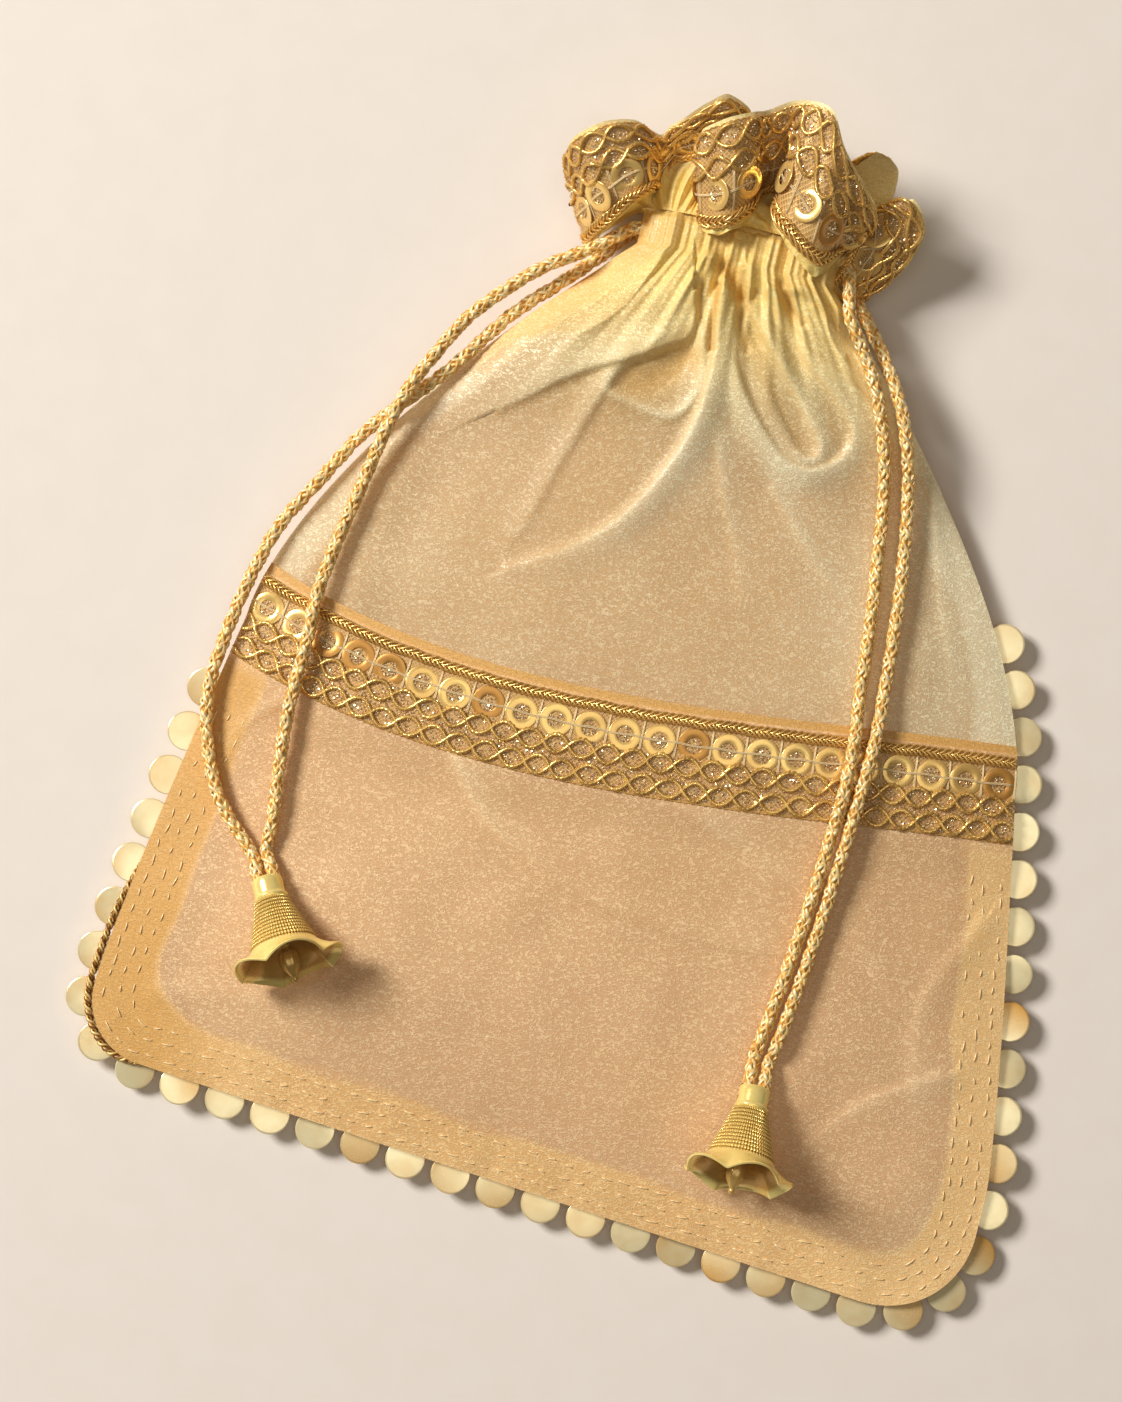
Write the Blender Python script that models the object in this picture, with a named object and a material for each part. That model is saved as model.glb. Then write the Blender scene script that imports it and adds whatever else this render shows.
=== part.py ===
"""A drawstring potli bag of sheer organza, lying on its back panel as on a table.

Frame: metres, +Y from the closed bottom towards the mouth, +X across the bag, +Z up off the table.
The origin is on the table, under the flat middle of the back panel.
The bag is a front and a back panel joined round a trim of paillettes. A channel at the neck carries
two drawcords, and each cord ends in a cast bell whose clapper swings on a cross pin.
"""

import math

import bmesh
import bpy
import numpy as np
from mathutils import Matrix, Vector

MM = 0.001
GAP = 0.3 * MM

# Cloth body
CLOTH = 0.8 * MM
BOTTOM_Y = -111.7 * MM
BODY_LENGTH = 236.0 * MM
BOTTOM_WIDTH = 229.0 * MM
SHOULDER_WIDTH = 197.0 * MM
WIDEST_RISE = 27.0 * MM
SHOULDER_RISE = 124.0 * MM
TAPER_POWER = 1.2
SHOULDER_POWER = 1.55
BOTTOM_LEAN = 0.086
LEFT_CORNER = 15.0 * MM
RIGHT_CORNER = 25.0 * MM
FRONT_RISE = 8.5 * MM
BACK_SAG = 6.5 * MM
BELLY_RAMP = 60.0 * MM
SEAM_HEIGHT = 5.0 * MM
SEAM_GAP_PLAIN = 0.6 * MM

# Front band of lace and the hem under it
BAND_CURVE = (-6.0 * MM, 10.7 * MM, 5.0 * MM, -9.4 * MM)
BAND_WIDTH = 21.6 * MM
LACE = 0.6 * MM
HEM_SHOWS = 2.6 * MM
HEM_STEP_LENGTH = 12.0 * MM
UPPER_TUCK = 3.6 * MM

# Neck channel and its two drawcords
NECK_WIDTH = 50.0 * MM
CHANNEL_WALL = 0.6 * MM
CORD_DIAMETER = 3.6 * MM
NECK_PASSAGE = 8.6 * MM

# Frill above the channel
FRILL_LENGTH = 28.5 * MM
FRILL_WIDTH = 80.0 * MM
FRILL_HEIGHT = 28.0 * MM
FRILL_MOUTH_Z = 17.6 * MM
FRILL_LOBES = 7
LOBE_DEPTH = 4.6 * MM
MOUTH_LACE_WIDTH = 21.6 * MM

# Paillettes and the braid that carries them
PAILLETTE_DIAMETER = 10.0 * MM
PAILLETTE_THICKNESS = 0.3 * MM
PAILLETTE_COUNT = 42
PAILLETTE_OUTSET = 2.0 * MM
SEWING_HOLE = 1.2 * MM
TRIM_START_Y = -8.0 * MM
TRIM_END_Y = 48.0 * MM
BRAID_WIDTH = 1.8 * MM
BRAID_THICKNESS = 0.8 * MM
BRAID_INSET = 1.6 * MM
BRAID_OUTSET = 1.3 * MM

# Bells, their cross pins and clappers
BELL_LENGTH = 22.6 * MM
BELL_COLLAR = 7.8 * MM
BELL_MOUTH = 26.0 * MM
BELL_WALL = 0.6 * MM
BELL_CAP = 0.8 * MM
COLLAR_LENGTH = 4.6 * MM
RIDGES = 7
RIDGE_HEIGHT = 0.25 * MM
PETALS = 5
PETAL_WAVE = 0.9 * MM
PETAL_REACH = 0.06
PIN_DIAMETER = 1.2 * MM
PIN_CLEARANCE = 0.3 * MM
EYE_WIRE = 0.84 * MM
STEM_DIAMETER = 1.0 * MM
CLAPPER_LENGTH = 24.0 * MM
CLAPPER_BUD = 4.6 * MM

# Straight ends of a cord: out of the channel, and on to the collar of its bell
CORD_EXIT = 10.5 * MM
CORD_ENTRY = 8.0 * MM

# Each bell's collar top (x, y) and the way that its mouth points, in degrees from +X
LEFT_BELL = ((-77.9 * MM, -50.3 * MM), -60.0)
RIGHT_BELL = ((51.5 * MM, -72.7 * MM), -90.6)

# Route of each free strand from the channel to its bell, in millimetres: x, y and height
LEFT_OVER = [
    (-35.3, 120.5, 14.2), (-47.5, 112.0, 13.6), (-60.7, 97.8, 13.8), (-68.0, 84.5, 14.4), (-71.8, 76.0, 14.8),
    (-75.0, 65.2, 13.4), (-77.3, 52.6, 11.7), (-80.2, 37.0, 11.9), (-82.1, 22.0, 13.4), (-81.9, 8.0, 14.6),
    (-82.5, -6.0, 13.9), (-81.8, -20.0, 12.8), (-80.2, -34.0, 13.1),
]
LEFT_UNDER = [
    (-33.5, 119.5, 6.8), (-40.5, 111.8, 8.2), (-51.5, 100.0, 10.2), (-62.2, 84.6, 11.4), (-71.0, 74.3, 10.6),
    (-80.5, 63.1, 9.4), (-88.5, 49.0, 9.3), (-95.5, 36.0, 9.4), (-99.8, 21.0, 9.8), (-102.3, 6.0, 10.2),
    (-103.3, -8.0, 9.8), (-100.4, -21.2, 10.0), (-94.0, -34.0, 11.4),
]
RIGHT_INNER = [
    (28.6, 124.5, 18.2), (30.4, 117.5, 20.2), (35.2, 110.8, 18.9), (40.1, 102.9, 18.8), (43.8, 94.8, 17.7),
    (47.2, 84.6, 15.7), (49.4, 74.3, 14.2), (51.0, 61.8, 14.0), (52.9, 46.0, 14.5), (54.2, 30.0, 14.9),
    (55.6, 16.0, 17.0), (55.9, 3.0, 17.5), (55.2, -11.0, 16.4), (54.0, -28.0, 15.4), (52.1, -46.0, 15.6),
    (50.2, -60.0, 15.6),
]
RIGHT_OUTER = [
    (32.5, 122.5, 8.5), (38.8, 113.8, 13.0), (43.9, 105.8, 16.4), (48.0, 98.6, 17.4), (51.0, 91.5, 16.8),
    (54.3, 80.6, 14.6), (57.4, 63.3, 13.2), (59.0, 48.0, 13.8), (60.2, 30.0, 14.4), (60.6, 17.0, 16.2),
    (60.0, 4.0, 17.1), (59.2, -11.0, 16.2), (58.0, -28.0, 15.2), (56.2, -46.0, 15.3), (54.4, -60.0, 15.5),
]

# Facets
COLUMNS = 20
LOBE_COLUMNS = 6
CASING_COLUMNS = 40
PETAL_COLUMNS = 5
ROD_COLUMNS = 10
BRAID_POINTS = 72
CORD_STEP = 2.9 * CORD_DIAMETER

COLOURS = {
    "yellow_organza": ((0.78, 0.66, 0.38), 0.45, 0.0),
    "peach_organza": ((0.74, 0.50, 0.30), 0.45, 0.0),
    "gold_lace": ((0.72, 0.50, 0.20), 0.35, 0.8),
    "gold_cord": ((0.70, 0.45, 0.12), 0.45, 0.4),
    "gold_paillette": ((0.85, 0.70, 0.38), 0.2, 1.0),
    "cast_gold": ((0.75, 0.50, 0.10), 0.25, 1.0),
}


def smooth(value):
    """0 below 0, 1 above 1, and an S-curve between."""
    t = np.clip(value, 0, 1)
    return t * t * (3 - 2 * t)


def blend(low, high, share):
    return low + (high - low) * share


# Body shape

NECK_Y = BOTTOM_Y + BODY_LENGTH
SHOULDER_Y = BOTTOM_Y + SHOULDER_RISE
WIDEST_Y = BOTTOM_Y + WIDEST_RISE
SEAM_GAP_TRIM = PAILLETTE_THICKNESS + BRAID_THICKNESS + 3 * GAP
CHANNEL_DEPTH = CORD_DIAMETER + 2 * GAP
NECK_HEIGHT = NECK_PASSAGE + 2 * (CLOTH + GAP + CHANNEL_DEPTH + CHANNEL_WALL)
NECK_Z = NECK_HEIGHT / 2
NECK_FLAT = (NECK_WIDTH - NECK_HEIGHT) / 2


def half_width(y):
    """Half the width at y: a slow taper up to the shoulder, which then curves in to the neck."""
    taper = np.clip((y - WIDEST_Y) / (SHOULDER_Y - WIDEST_Y), 0, 1) ** TAPER_POWER
    shoulder = np.clip((y - SHOULDER_Y) / (NECK_Y - SHOULDER_Y), 0, 1) ** SHOULDER_POWER
    return (
        BOTTOM_WIDTH / 2
        - (BOTTOM_WIDTH - SHOULDER_WIDTH) / 2 * taper
        - (SHOULDER_WIDTH - NECK_WIDTH) / 2 * shoulder
    )


def bottom_edge(u):
    """y of the closed bottom at u, from -1 at the left side to 1 at the right: leaning, with round corners."""
    x = u * BOTTOM_WIDTH / 2
    radius = np.where(x < 0, LEFT_CORNER, RIGHT_CORNER)
    into_corner = np.clip((np.abs(x) - (BOTTOM_WIDTH / 2 - radius)) / radius, 0, 1)
    return BOTTOM_Y - BOTTOM_LEAN * x + radius * (1 - np.sqrt(1 - into_corner**2))


def band_edge(u):
    """y of the lace band's lower edge at u: a lopsided smile, lowest a little to the left of the middle."""
    return np.polyval(BAND_CURVE, u)


def roundness(y):
    """0 where the section is a flat lens, 1 at the neck where it is a stadium."""
    start = TRIM_END_Y + PAILLETTE_DIAMETER
    return smooth((y - start) / (NECK_Y - start))


def section(u, y):
    """Height share of the section at u, 1 along the middle and 0 at both seams."""
    width = half_width(y)
    end = np.clip((np.abs(u) * width - (width - NECK_Z)) / NECK_Z, 0, 1)
    return blend(1 - u**2, np.sqrt(1 - end**2), roundness(y))


def belly(u, y):
    """0 at the closed bottom and 1 once the two panels have parted."""
    return 1 - (1 - np.clip((y - bottom_edge(u)) / BELLY_RAMP, 0, 1)) ** 2


def seam_height(y):
    return blend(SEAM_HEIGHT, NECK_Z, roundness(y))


def seam_half_gap(y):
    """Half the distance between the panels' middle surfaces at a side seam."""
    past_trim = smooth((y - TRIM_END_Y - PAILLETTE_DIAMETER) / (2 * PAILLETTE_DIAMETER))
    return (blend(SEAM_GAP_TRIM, SEAM_GAP_PLAIN, past_trim) + CLOTH) / 2


def front_height(u, y):
    """Height of the front cloth's middle surface."""
    rise = blend(FRONT_RISE, NECK_Z - CLOTH / 2 - seam_half_gap(y), roundness(y))
    return seam_height(y) + seam_half_gap(y) + rise * section(u, y) * belly(u, y)


def back_height(u, y):
    """Height of the back cloth's middle surface, which lies flat on the table in the middle."""
    sag = blend(BACK_SAG, NECK_Z - CLOTH / 2 - seam_half_gap(y), roundness(y))
    hanging = seam_height(y) - seam_half_gap(y) - sag * section(u, y) * belly(u, y)
    return np.maximum(CLOTH / 2, hanging)


def hem_step(u, y):
    """How far the lower front panel stands up where its hem overlaps the upper one."""
    return (CLOTH + GAP) * smooth((y - band_edge(u)) / HEM_STEP_LENGTH + 1)


# Helpers that make objects


def material(name):
    """The Principled material of this finish, made once."""
    made = bpy.data.materials.get(name)
    if made is None:
        colour, roughness, metallic = COLOURS[name]
        made = bpy.data.materials.new(name)
        made.use_nodes = True
        shader = made.node_tree.nodes["Principled BSDF"]
        shader.inputs["Base Color"].default_value = (*colour, 1)
        shader.inputs["Roughness"].default_value = roughness
        shader.inputs["Metallic"].default_value = metallic
    return made


def add_object(name, points, faces, finish, shared=None):
    """A smooth-shaded mesh object in the scene. shared is a mesh that it uses instead of its own."""
    mesh = shared
    if mesh is None:
        mesh = bpy.data.meshes.new(name)
        mesh.from_pydata([tuple(p) for p in points], [], faces)
        mesh.shade_smooth()
        mesh.set_sharp_from_angle(angle=math.radians(40))
        mesh.materials.append(material(finish))
    made = bpy.data.objects.new(name, mesh)
    bpy.context.scene.collection.objects.link(made)
    return made


def grid_faces(rows, columns, closed_rows=False, closed_columns=False):
    """Quads of a grid of points stored row by row. A closed direction joins its last line to its first."""
    faces = []
    for r in range(rows if closed_rows else rows - 1):
        for c in range(columns if closed_columns else columns - 1):
            next_r, next_c = (r + 1) % rows, (c + 1) % columns
            faces.append(
                (r * columns + c, r * columns + next_c, next_r * columns + next_c, next_r * columns + c)
            )
    return faces


def cloth_sheet(name, grid, thickness, finish, ring=False):
    """A sheet of cloth: the grid is its middle surface, made solid to both sides by a Solidify modifier."""
    rows, columns = grid.shape[:2]
    sheet = add_object(
        name, grid.reshape(-1, 3), grid_faces(rows, columns, closed_columns=ring), finish
    )
    solidify = sheet.modifiers.new("thickness", "SOLIDIFY")
    solidify.thickness = thickness
    solidify.offset = 0
    solidify.use_even_offset = True
    return sheet


def body_grid(low, high, rows, height):
    """Points of a panel between two lines across the bag, low(u) and high(u), at height(u, y)."""
    u = np.sin(np.linspace(-math.pi / 2, math.pi / 2, COLUMNS + 1))
    share = np.linspace(0, 1, rows + 1)[:, None]
    y = blend(low(u)[None, :], high(u)[None, :], share)
    across = np.broadcast_to(u, y.shape)
    return np.stack([across * half_width(y), y, height(across, y)], axis=-1)


def cut(solid, cutter):
    """Cuts the closed cutter out of solid and keeps the cutter as a hidden wire guide."""
    cutter.hide_render = True
    cutter.display_type = "WIRE"
    boolean = solid.modifiers.new("cut " + cutter.name, "BOOLEAN")
    boolean.operation = "DIFFERENCE"
    boolean.solver = "EXACT"
    boolean.object = cutter


# Cloth panels, lace and braid


def neck_line(u):
    return NECK_Y + 0 * u


def build_panels():
    cloth_sheet("back_panel", body_grid(bottom_edge, neck_line, 17, back_height), CLOTH, "peach_organza")
    cloth_sheet(
        "front_lower_panel",
        body_grid(
            bottom_edge,
            lambda u: band_edge(u) + BAND_WIDTH + HEM_SHOWS,
            9,
            lambda u, y: front_height(u, y) + hem_step(u, y),
        ),
        CLOTH,
        "peach_organza",
    )
    cloth_sheet(
        "front_upper_panel",
        body_grid(lambda u: band_edge(u) + UPPER_TUCK, neck_line, 13, front_height),
        CLOTH,
        "yellow_organza",
    )
    lace_lift = (CLOTH + GAP) + CLOTH / 2 + GAP + LACE / 2
    cloth_sheet(
        "front_lace_band",
        body_grid(band_edge, lambda u: band_edge(u) + BAND_WIDTH, 3, lambda u, y: front_height(u, y) + lace_lift),
        LACE,
        "gold_lace",
    )


def trim_path(outset, count):
    """Points (x, y) and outward normals, evenly spaced along the trimmed edge: down the left side,
    across the bottom and up the right side, moved out by outset, which may be a function of the share."""
    left_y = np.linspace(TRIM_START_Y, bottom_edge(-1.0), 120, endpoint=False)
    right_y = np.linspace(bottom_edge(1.0), TRIM_END_Y, 160)[1:]
    u = np.sin(np.linspace(-math.pi / 2, math.pi / 2, 400))
    edge = np.concatenate(
        [
            np.stack([-half_width(left_y), left_y], axis=1),
            np.stack([u * BOTTOM_WIDTH / 2, bottom_edge(u)], axis=1),
            np.stack([half_width(right_y), right_y], axis=1),
        ]
    )
    along = np.gradient(edge, axis=0)
    along /= np.linalg.norm(along, axis=1, keepdims=True)
    normal = np.stack([along[:, 1], -along[:, 0]], axis=1)
    share = np.linspace(0, 1, len(edge))[:, None]
    moved = edge + normal * (outset(share) if callable(outset) else outset)
    length = np.concatenate([[0], np.cumsum(np.linalg.norm(np.diff(moved, axis=0), axis=1))])
    at = np.linspace(0, length[-1], count)
    points = np.stack([np.interp(at, length, moved[:, i]) for i in range(2)], axis=1)
    normals = np.stack([np.interp(at, length, normal[:, i]) for i in range(2)], axis=1)
    return points, normals / np.linalg.norm(normals, axis=1, keepdims=True)


PAILLETTE_Z = SEAM_HEIGHT - SEAM_GAP_TRIM / 2 + GAP
BRAID_Z = PAILLETTE_Z + PAILLETTE_THICKNESS + GAP


def paillette_mesh():
    """A flat round disc with a sewing hole near its rim, lying in XY with the hole towards -Y."""
    sides, hole_sides = 12, 6
    form = bmesh.new()
    loops = []
    for count, radius, y in (
        (sides, PAILLETTE_DIAMETER / 2, 0),
        (hole_sides, SEWING_HOLE / 2, SEWING_HOLE - PAILLETTE_DIAMETER / 2),
    ):
        circle = bmesh.ops.create_circle(form, segments=count, radius=radius)["verts"]
        bmesh.ops.translate(form, verts=circle, vec=(0, y, 0))
        loops += list({edge for vertex in circle for edge in vertex.link_edges})
    flat = bmesh.ops.triangle_fill(form, edges=loops, use_beauty=True, normal=(0, 0, 1))["geom"]
    faces = [item for item in flat if isinstance(item, bmesh.types.BMFace)]
    raised = bmesh.ops.extrude_face_region(form, geom=faces)["geom"]
    top = [item for item in raised if isinstance(item, bmesh.types.BMVert)]
    bmesh.ops.translate(form, verts=top, vec=(0, 0, PAILLETTE_THICKNESS))
    bmesh.ops.recalc_face_normals(form, faces=form.faces)
    mesh = bpy.data.meshes.new("paillette")
    form.to_mesh(mesh)
    form.free()
    mesh.materials.append(material("gold_paillette"))
    return mesh


def build_paillettes():
    mesh = paillette_mesh()
    points, normals = trim_path(PAILLETTE_OUTSET, PAILLETTE_COUNT)
    for number, (point, normal) in enumerate(zip(points, normals), 1):
        disc = add_object(f"paillette_{number:02d}", (), (), "gold_paillette", shared=mesh)
        disc.location = (point[0], point[1], PAILLETTE_Z)
        disc.rotation_euler.z = math.atan2(normal[1], normal[0]) - math.pi / 2


def braid_outset(share):
    """Mostly tucked in behind the hem, and drawn out beyond it round the bottom left corner."""
    out = smooth((share - 0.08) / 0.06) * smooth((0.30 - share) / 0.06)
    return blend(-BRAID_INSET, BRAID_OUTSET, out)


def build_edge_braid():
    """A flat strip that follows the trimmed edge."""
    points, normals = trim_path(braid_outset, BRAID_POINTS)
    rows = []
    for point, normal in zip(points, normals):
        inner = point - normal * BRAID_WIDTH / 2
        outer = point + normal * BRAID_WIDTH / 2
        low, high = BRAID_Z, BRAID_Z + BRAID_THICKNESS
        rows.append([(*inner, low), (*inner, high), (*outer, high), (*outer, low)])
    grid = np.array(rows)
    faces = grid_faces(len(rows), 4, closed_columns=True)
    last = 4 * (len(rows) - 1)
    faces += [(3, 2, 1, 0), (last, last + 1, last + 2, last + 3)]
    add_object("edge_braid", grid.reshape(-1, 3), faces, "gold_lace")


# Neck channel, frill and mouth lace


def neck_ring(radius, count):
    """Points (x, z) in order round a stadium: two half circles of this radius and the neck's straight
    sides between them. It starts at the foot of the right half circle."""
    arc = count // 4
    flat = count // 2 - arc
    turn = np.concatenate(
        [
            np.linspace(-90, 90, arc, endpoint=False),
            np.full(flat, 90.0),
            np.linspace(90, 270, arc, endpoint=False),
            np.full(flat, 270.0),
        ]
    )
    side = np.concatenate(
        [
            np.ones(arc),
            np.linspace(1, -1, flat, endpoint=False),
            -np.ones(arc),
            np.linspace(-1, 1, flat, endpoint=False),
        ]
    )
    x = side * NECK_FLAT + radius * np.cos(np.radians(turn))
    return np.stack([x, NECK_Z + radius * np.sin(np.radians(turn))], axis=1)


CHANNEL_START = NECK_Y + GAP
CHANNEL_LENGTH = 2 * CHANNEL_WALL + 2 * CORD_DIAMETER + 3 * GAP
CHANNEL_END = CHANNEL_START + CHANNEL_LENGTH
CHANNEL_RADIUS = NECK_HEIGHT / 2 - CHANNEL_WALL - CHANNEL_DEPTH / 2
LEFT_CORD_Y = CHANNEL_START + CHANNEL_WALL + GAP + CORD_DIAMETER / 2
RIGHT_CORD_Y = LEFT_CORD_Y + CORD_DIAMETER + GAP


def build_neck_casing():
    """The stitched channel: a U section open to the neck, swept round the stadium, with a slot at each
    side through which its cord comes out."""
    outer = NECK_HEIGHT / 2
    groove = outer - CHANNEL_WALL
    lip = groove - CHANNEL_DEPTH
    start, end = CHANNEL_START, CHANNEL_END
    profile = [
        (outer, start),
        (outer, end),
        (lip, end),
        (lip, end - CHANNEL_WALL),
        (groove, end - CHANNEL_WALL),
        (groove, start + CHANNEL_WALL),
        (lip, start + CHANNEL_WALL),
        (lip, start),
    ]
    rows = []
    for radius, y in profile:
        ring = neck_ring(radius, CASING_COLUMNS)
        rows.append([(x, y, z) for x, z in ring])
    casing = add_object(
        "neck_casing",
        np.array(rows).reshape(-1, 3),
        grid_faces(len(rows), CASING_COLUMNS, closed_rows=True, closed_columns=True),
        "yellow_organza",
    )
    for name, side, cord_y in (("left", -1, LEFT_CORD_Y), ("right", 1, RIGHT_CORD_Y)):
        x = side * (NECK_FLAT + NECK_Z)
        half = Vector((NECK_Z * 0.62, CORD_DIAMETER / 2 + GAP * 0.8, NECK_Z * 0.9))
        cut(casing, cutter_box(f"slot_{name}", Vector((x, cord_y, NECK_Z)), half))


def cutter_box(name, centre, half):
    corners = [(x, y, z) for x in (-1, 1) for y in (-1, 1) for z in (-1, 1)]
    points = [[c + s * h for c, s, h in zip(centre, corner, half)] for corner in corners]
    faces = [(0, 1, 3, 2), (4, 6, 7, 5), (0, 4, 5, 1), (2, 3, 7, 6), (0, 2, 6, 4), (1, 5, 7, 3)]
    return add_object(name, points, faces, "yellow_organza")


def frill_point_grid(shares):
    """Middle surface of the frill at these shares of its length: a plain tube inside the channel, then a
    flare to a wide mouth whose edge waves in lobes, shallower where it lies near the table."""
    count = FRILL_LOBES * LOBE_COLUMNS
    tube = neck_ring(NECK_PASSAGE / 2 + CLOTH / 2, count)
    turn = -math.pi / 4 + 2 * math.pi * np.arange(count) / count
    outward = np.stack([np.cos(turn), np.sin(turn)], axis=1)
    lobe = np.cos(FRILL_LOBES * (turn - math.pi / 2))[:, None]
    depth = LOBE_DEPTH * (0.65 + 0.35 * outward[:, 1:])
    rows = []
    for share in shares:
        flare = share**1.3
        mouth = outward * (FRILL_WIDTH / 2, FRILL_HEIGHT / 2) + (0, FRILL_MOUTH_Z)
        ring = blend(tube, mouth, flare) + outward * lobe * depth * share
        y = CHANNEL_END + GAP + share * (FRILL_LENGTH + 1.5 * MM * lobe[:, 0])
        rows.append(np.stack([ring[:, 0], y, ring[:, 1]], axis=1))
    return np.array(rows)


def moved_out(grid, distance):
    """The ring grid moved outwards along its own normals."""
    along = np.gradient(grid, axis=0)
    padded = np.concatenate([grid[:, -1:], grid, grid[:, :1]], axis=1)
    around = (padded[:, 2:] - padded[:, :-2]) / 2
    normal = np.cross(around, along)
    normal /= np.linalg.norm(normal, axis=2, keepdims=True)
    return grid - normal * distance


def build_frill():
    tube = frill_point_grid([0.0])[0]
    start = tube.copy()
    start[:, 1] = CHANNEL_START
    flared = frill_point_grid(np.linspace(0, 1, 7))
    cloth_sheet("neck_frill", np.concatenate([start[None], flared]), CLOTH, "yellow_organza", ring=True)
    first = 1 - MOUTH_LACE_WIDTH / FRILL_LENGTH
    lace = moved_out(frill_point_grid(np.linspace(first, 0.985, 4)), CLOTH / 2 + GAP + LACE / 2)
    cloth_sheet("mouth_lace", lace, LACE, "gold_lace", ring=True)


# Bells, their cross pins and clappers

EYE_RADIUS = PIN_DIAMETER / 2 + PIN_CLEARANCE + EYE_WIRE
PIN_DROP = BELL_CAP + EYE_RADIUS + GAP
RIM_DROP = BELL_MOUTH / 2 * (1 + PETAL_REACH) * math.cos(math.pi / 2 / PETALS)
BELL_TILT = math.atan2(RIM_DROP - BELL_COLLAR / 2, BELL_LENGTH)


def bell_rows():
    """(radius, along, wave) of the outer skin from the collar's top to the rim, where wave is the share of
    the petals' wave at that row."""
    collar, mouth = BELL_COLLAR / 2, BELL_MOUTH / 2
    bead = COLLAR_LENGTH + 0.5 * MM
    rows = [(collar, 0, 0), (collar, COLLAR_LENGTH, 0), (collar + 0.5 * MM, bead, 0)]
    for i in range(2 * RIDGES + 1):
        share = i / (2 * RIDGES)
        ridge = RIDGE_HEIGHT if i % 2 else 0
        radius = blend(collar + 0.2 * MM, mouth * 0.62, share**1.15) + ridge
        rows.append((radius, blend(bead + 0.6 * MM, BELL_LENGTH * 0.78, share), 0))
    for radius, along, wave in ((0.70, 0.86, 0.15), (0.82, 0.93, 0.4), (0.93, 0.98, 0.75), (1.0, 1.0, 1.0)):
        rows.append((mouth * radius, BELL_LENGTH * along, wave))
    return rows


def bell_inside(along):
    """Radius of the smooth inside at this distance from the collar's top."""
    rows = bell_rows()
    outside = np.interp(along, [row[1] for row in rows], [row[0] for row in rows])
    return min(float(outside), BELL_MOUTH) - BELL_WALL - RIDGE_HEIGHT


def petal_ring(radius, along, wave, columns):
    """One ring of the bell, drawn out and curled back where a petal stands."""
    turn = np.linspace(0, 2 * math.pi, columns, endpoint=False)
    petal = wave * np.cos(PETALS * turn)
    reach = radius * (1 + PETAL_REACH * petal)
    return np.stack([reach * np.cos(turn), reach * np.sin(turn), along - PETAL_WAVE * petal], axis=1)


def bell_mesh(name):
    """The cast shell: ridged outside, smooth inside, closed at the collar's top and open at the mouth."""
    columns = PETAL_COLUMNS * PETALS
    rings = [petal_ring(*row, columns) for row in bell_rows()]
    for share, wave in ((0.99, 1.0), (0.96, 0.75), (0.91, 0.4), (0.85, 0.15), (0.72, 0), (0.5, 0), (0.26, 0)):
        along = BELL_LENGTH * share
        rings.append(petal_ring(bell_inside(along), along, wave, columns))
    rings.append(petal_ring(bell_inside(BELL_CAP), BELL_CAP, 0, columns))
    grid = np.array(rings)
    faces = grid_faces(len(rings), columns, closed_columns=True)
    last = columns * (len(rings) - 1)
    faces += [tuple(range(columns))[::-1], tuple(range(last, last + columns))]
    return add_object(name, grid.reshape(-1, 3), faces, "cast_gold")


def turned(name, profile, columns, finish):
    """A solid turned about +Z from (radius, along) pairs, with a flat cap at each end."""
    turn = np.linspace(0, 2 * math.pi, columns, endpoint=False)
    rings = [[(r * math.cos(a), r * math.sin(a), z) for a in turn] for r, z in profile]
    faces = grid_faces(len(rings), columns, closed_columns=True)
    last = columns * (len(rings) - 1)
    faces += [tuple(range(columns))[::-1], tuple(range(last, last + columns))]
    return add_object(name, np.array(rings).reshape(-1, 3), faces, finish)


def eye_ring(name, inner_radius, wire, finish):
    """A ring of round wire lying across +X, so that a pin along X passes through it."""
    around, section_count = 12, 6
    middle = inner_radius + wire / 2
    rings = []
    for a in np.linspace(0, 2 * math.pi, around, endpoint=False):
        rings.append(
            [
                (
                    wire / 2 * math.sin(b),
                    (middle + wire / 2 * math.cos(b)) * math.sin(a),
                    (middle + wire / 2 * math.cos(b)) * math.cos(a),
                )
                for b in np.linspace(0, 2 * math.pi, section_count, endpoint=False)
            ]
        )
    faces = grid_faces(around, section_count, closed_rows=True, closed_columns=True)
    return add_object(name, np.array(rings).reshape(-1, 3), faces, finish)


def clapper_profile():
    """(radius, distance from the pin) along the clapper: a stem, then a bud that ends in a small drop."""
    stem, bud = STEM_DIAMETER / 2, CLAPPER_BUD / 2
    shares = [
        (stem * 0.9, 0), (stem, 0.62), (bud * 0.7, 0.66), (bud, 0.74), (bud * 0.92, 0.81),
        (bud * 0.5, 0.9), (bud * 0.36, 0.93), (bud * 0.4, 0.96), (bud * 0.12, 1),
    ]
    eye_middle = EYE_RADIUS - EYE_WIRE / 2
    return [(radius, blend(eye_middle, CLAPPER_LENGTH, share)) for radius, share in shares]


def clapper_rest_swing():
    """Angle in degrees between the bell's axis and the clapper where it lies on the wall of the bell."""
    best = 0.0
    for angle in np.arange(0, 40, 0.25):
        lean = math.radians(angle)
        clear = []
        for radius, reach in clapper_profile():
            along = PIN_DROP + reach * math.cos(lean) - radius * math.sin(lean)
            aside = reach * math.sin(lean) + radius * math.cos(lean)
            if along < BELL_LENGTH * 0.9:
                clear.append(bell_inside(along) - aside)
        if min(clear) > GAP:
            best = float(angle)
    return best


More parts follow.
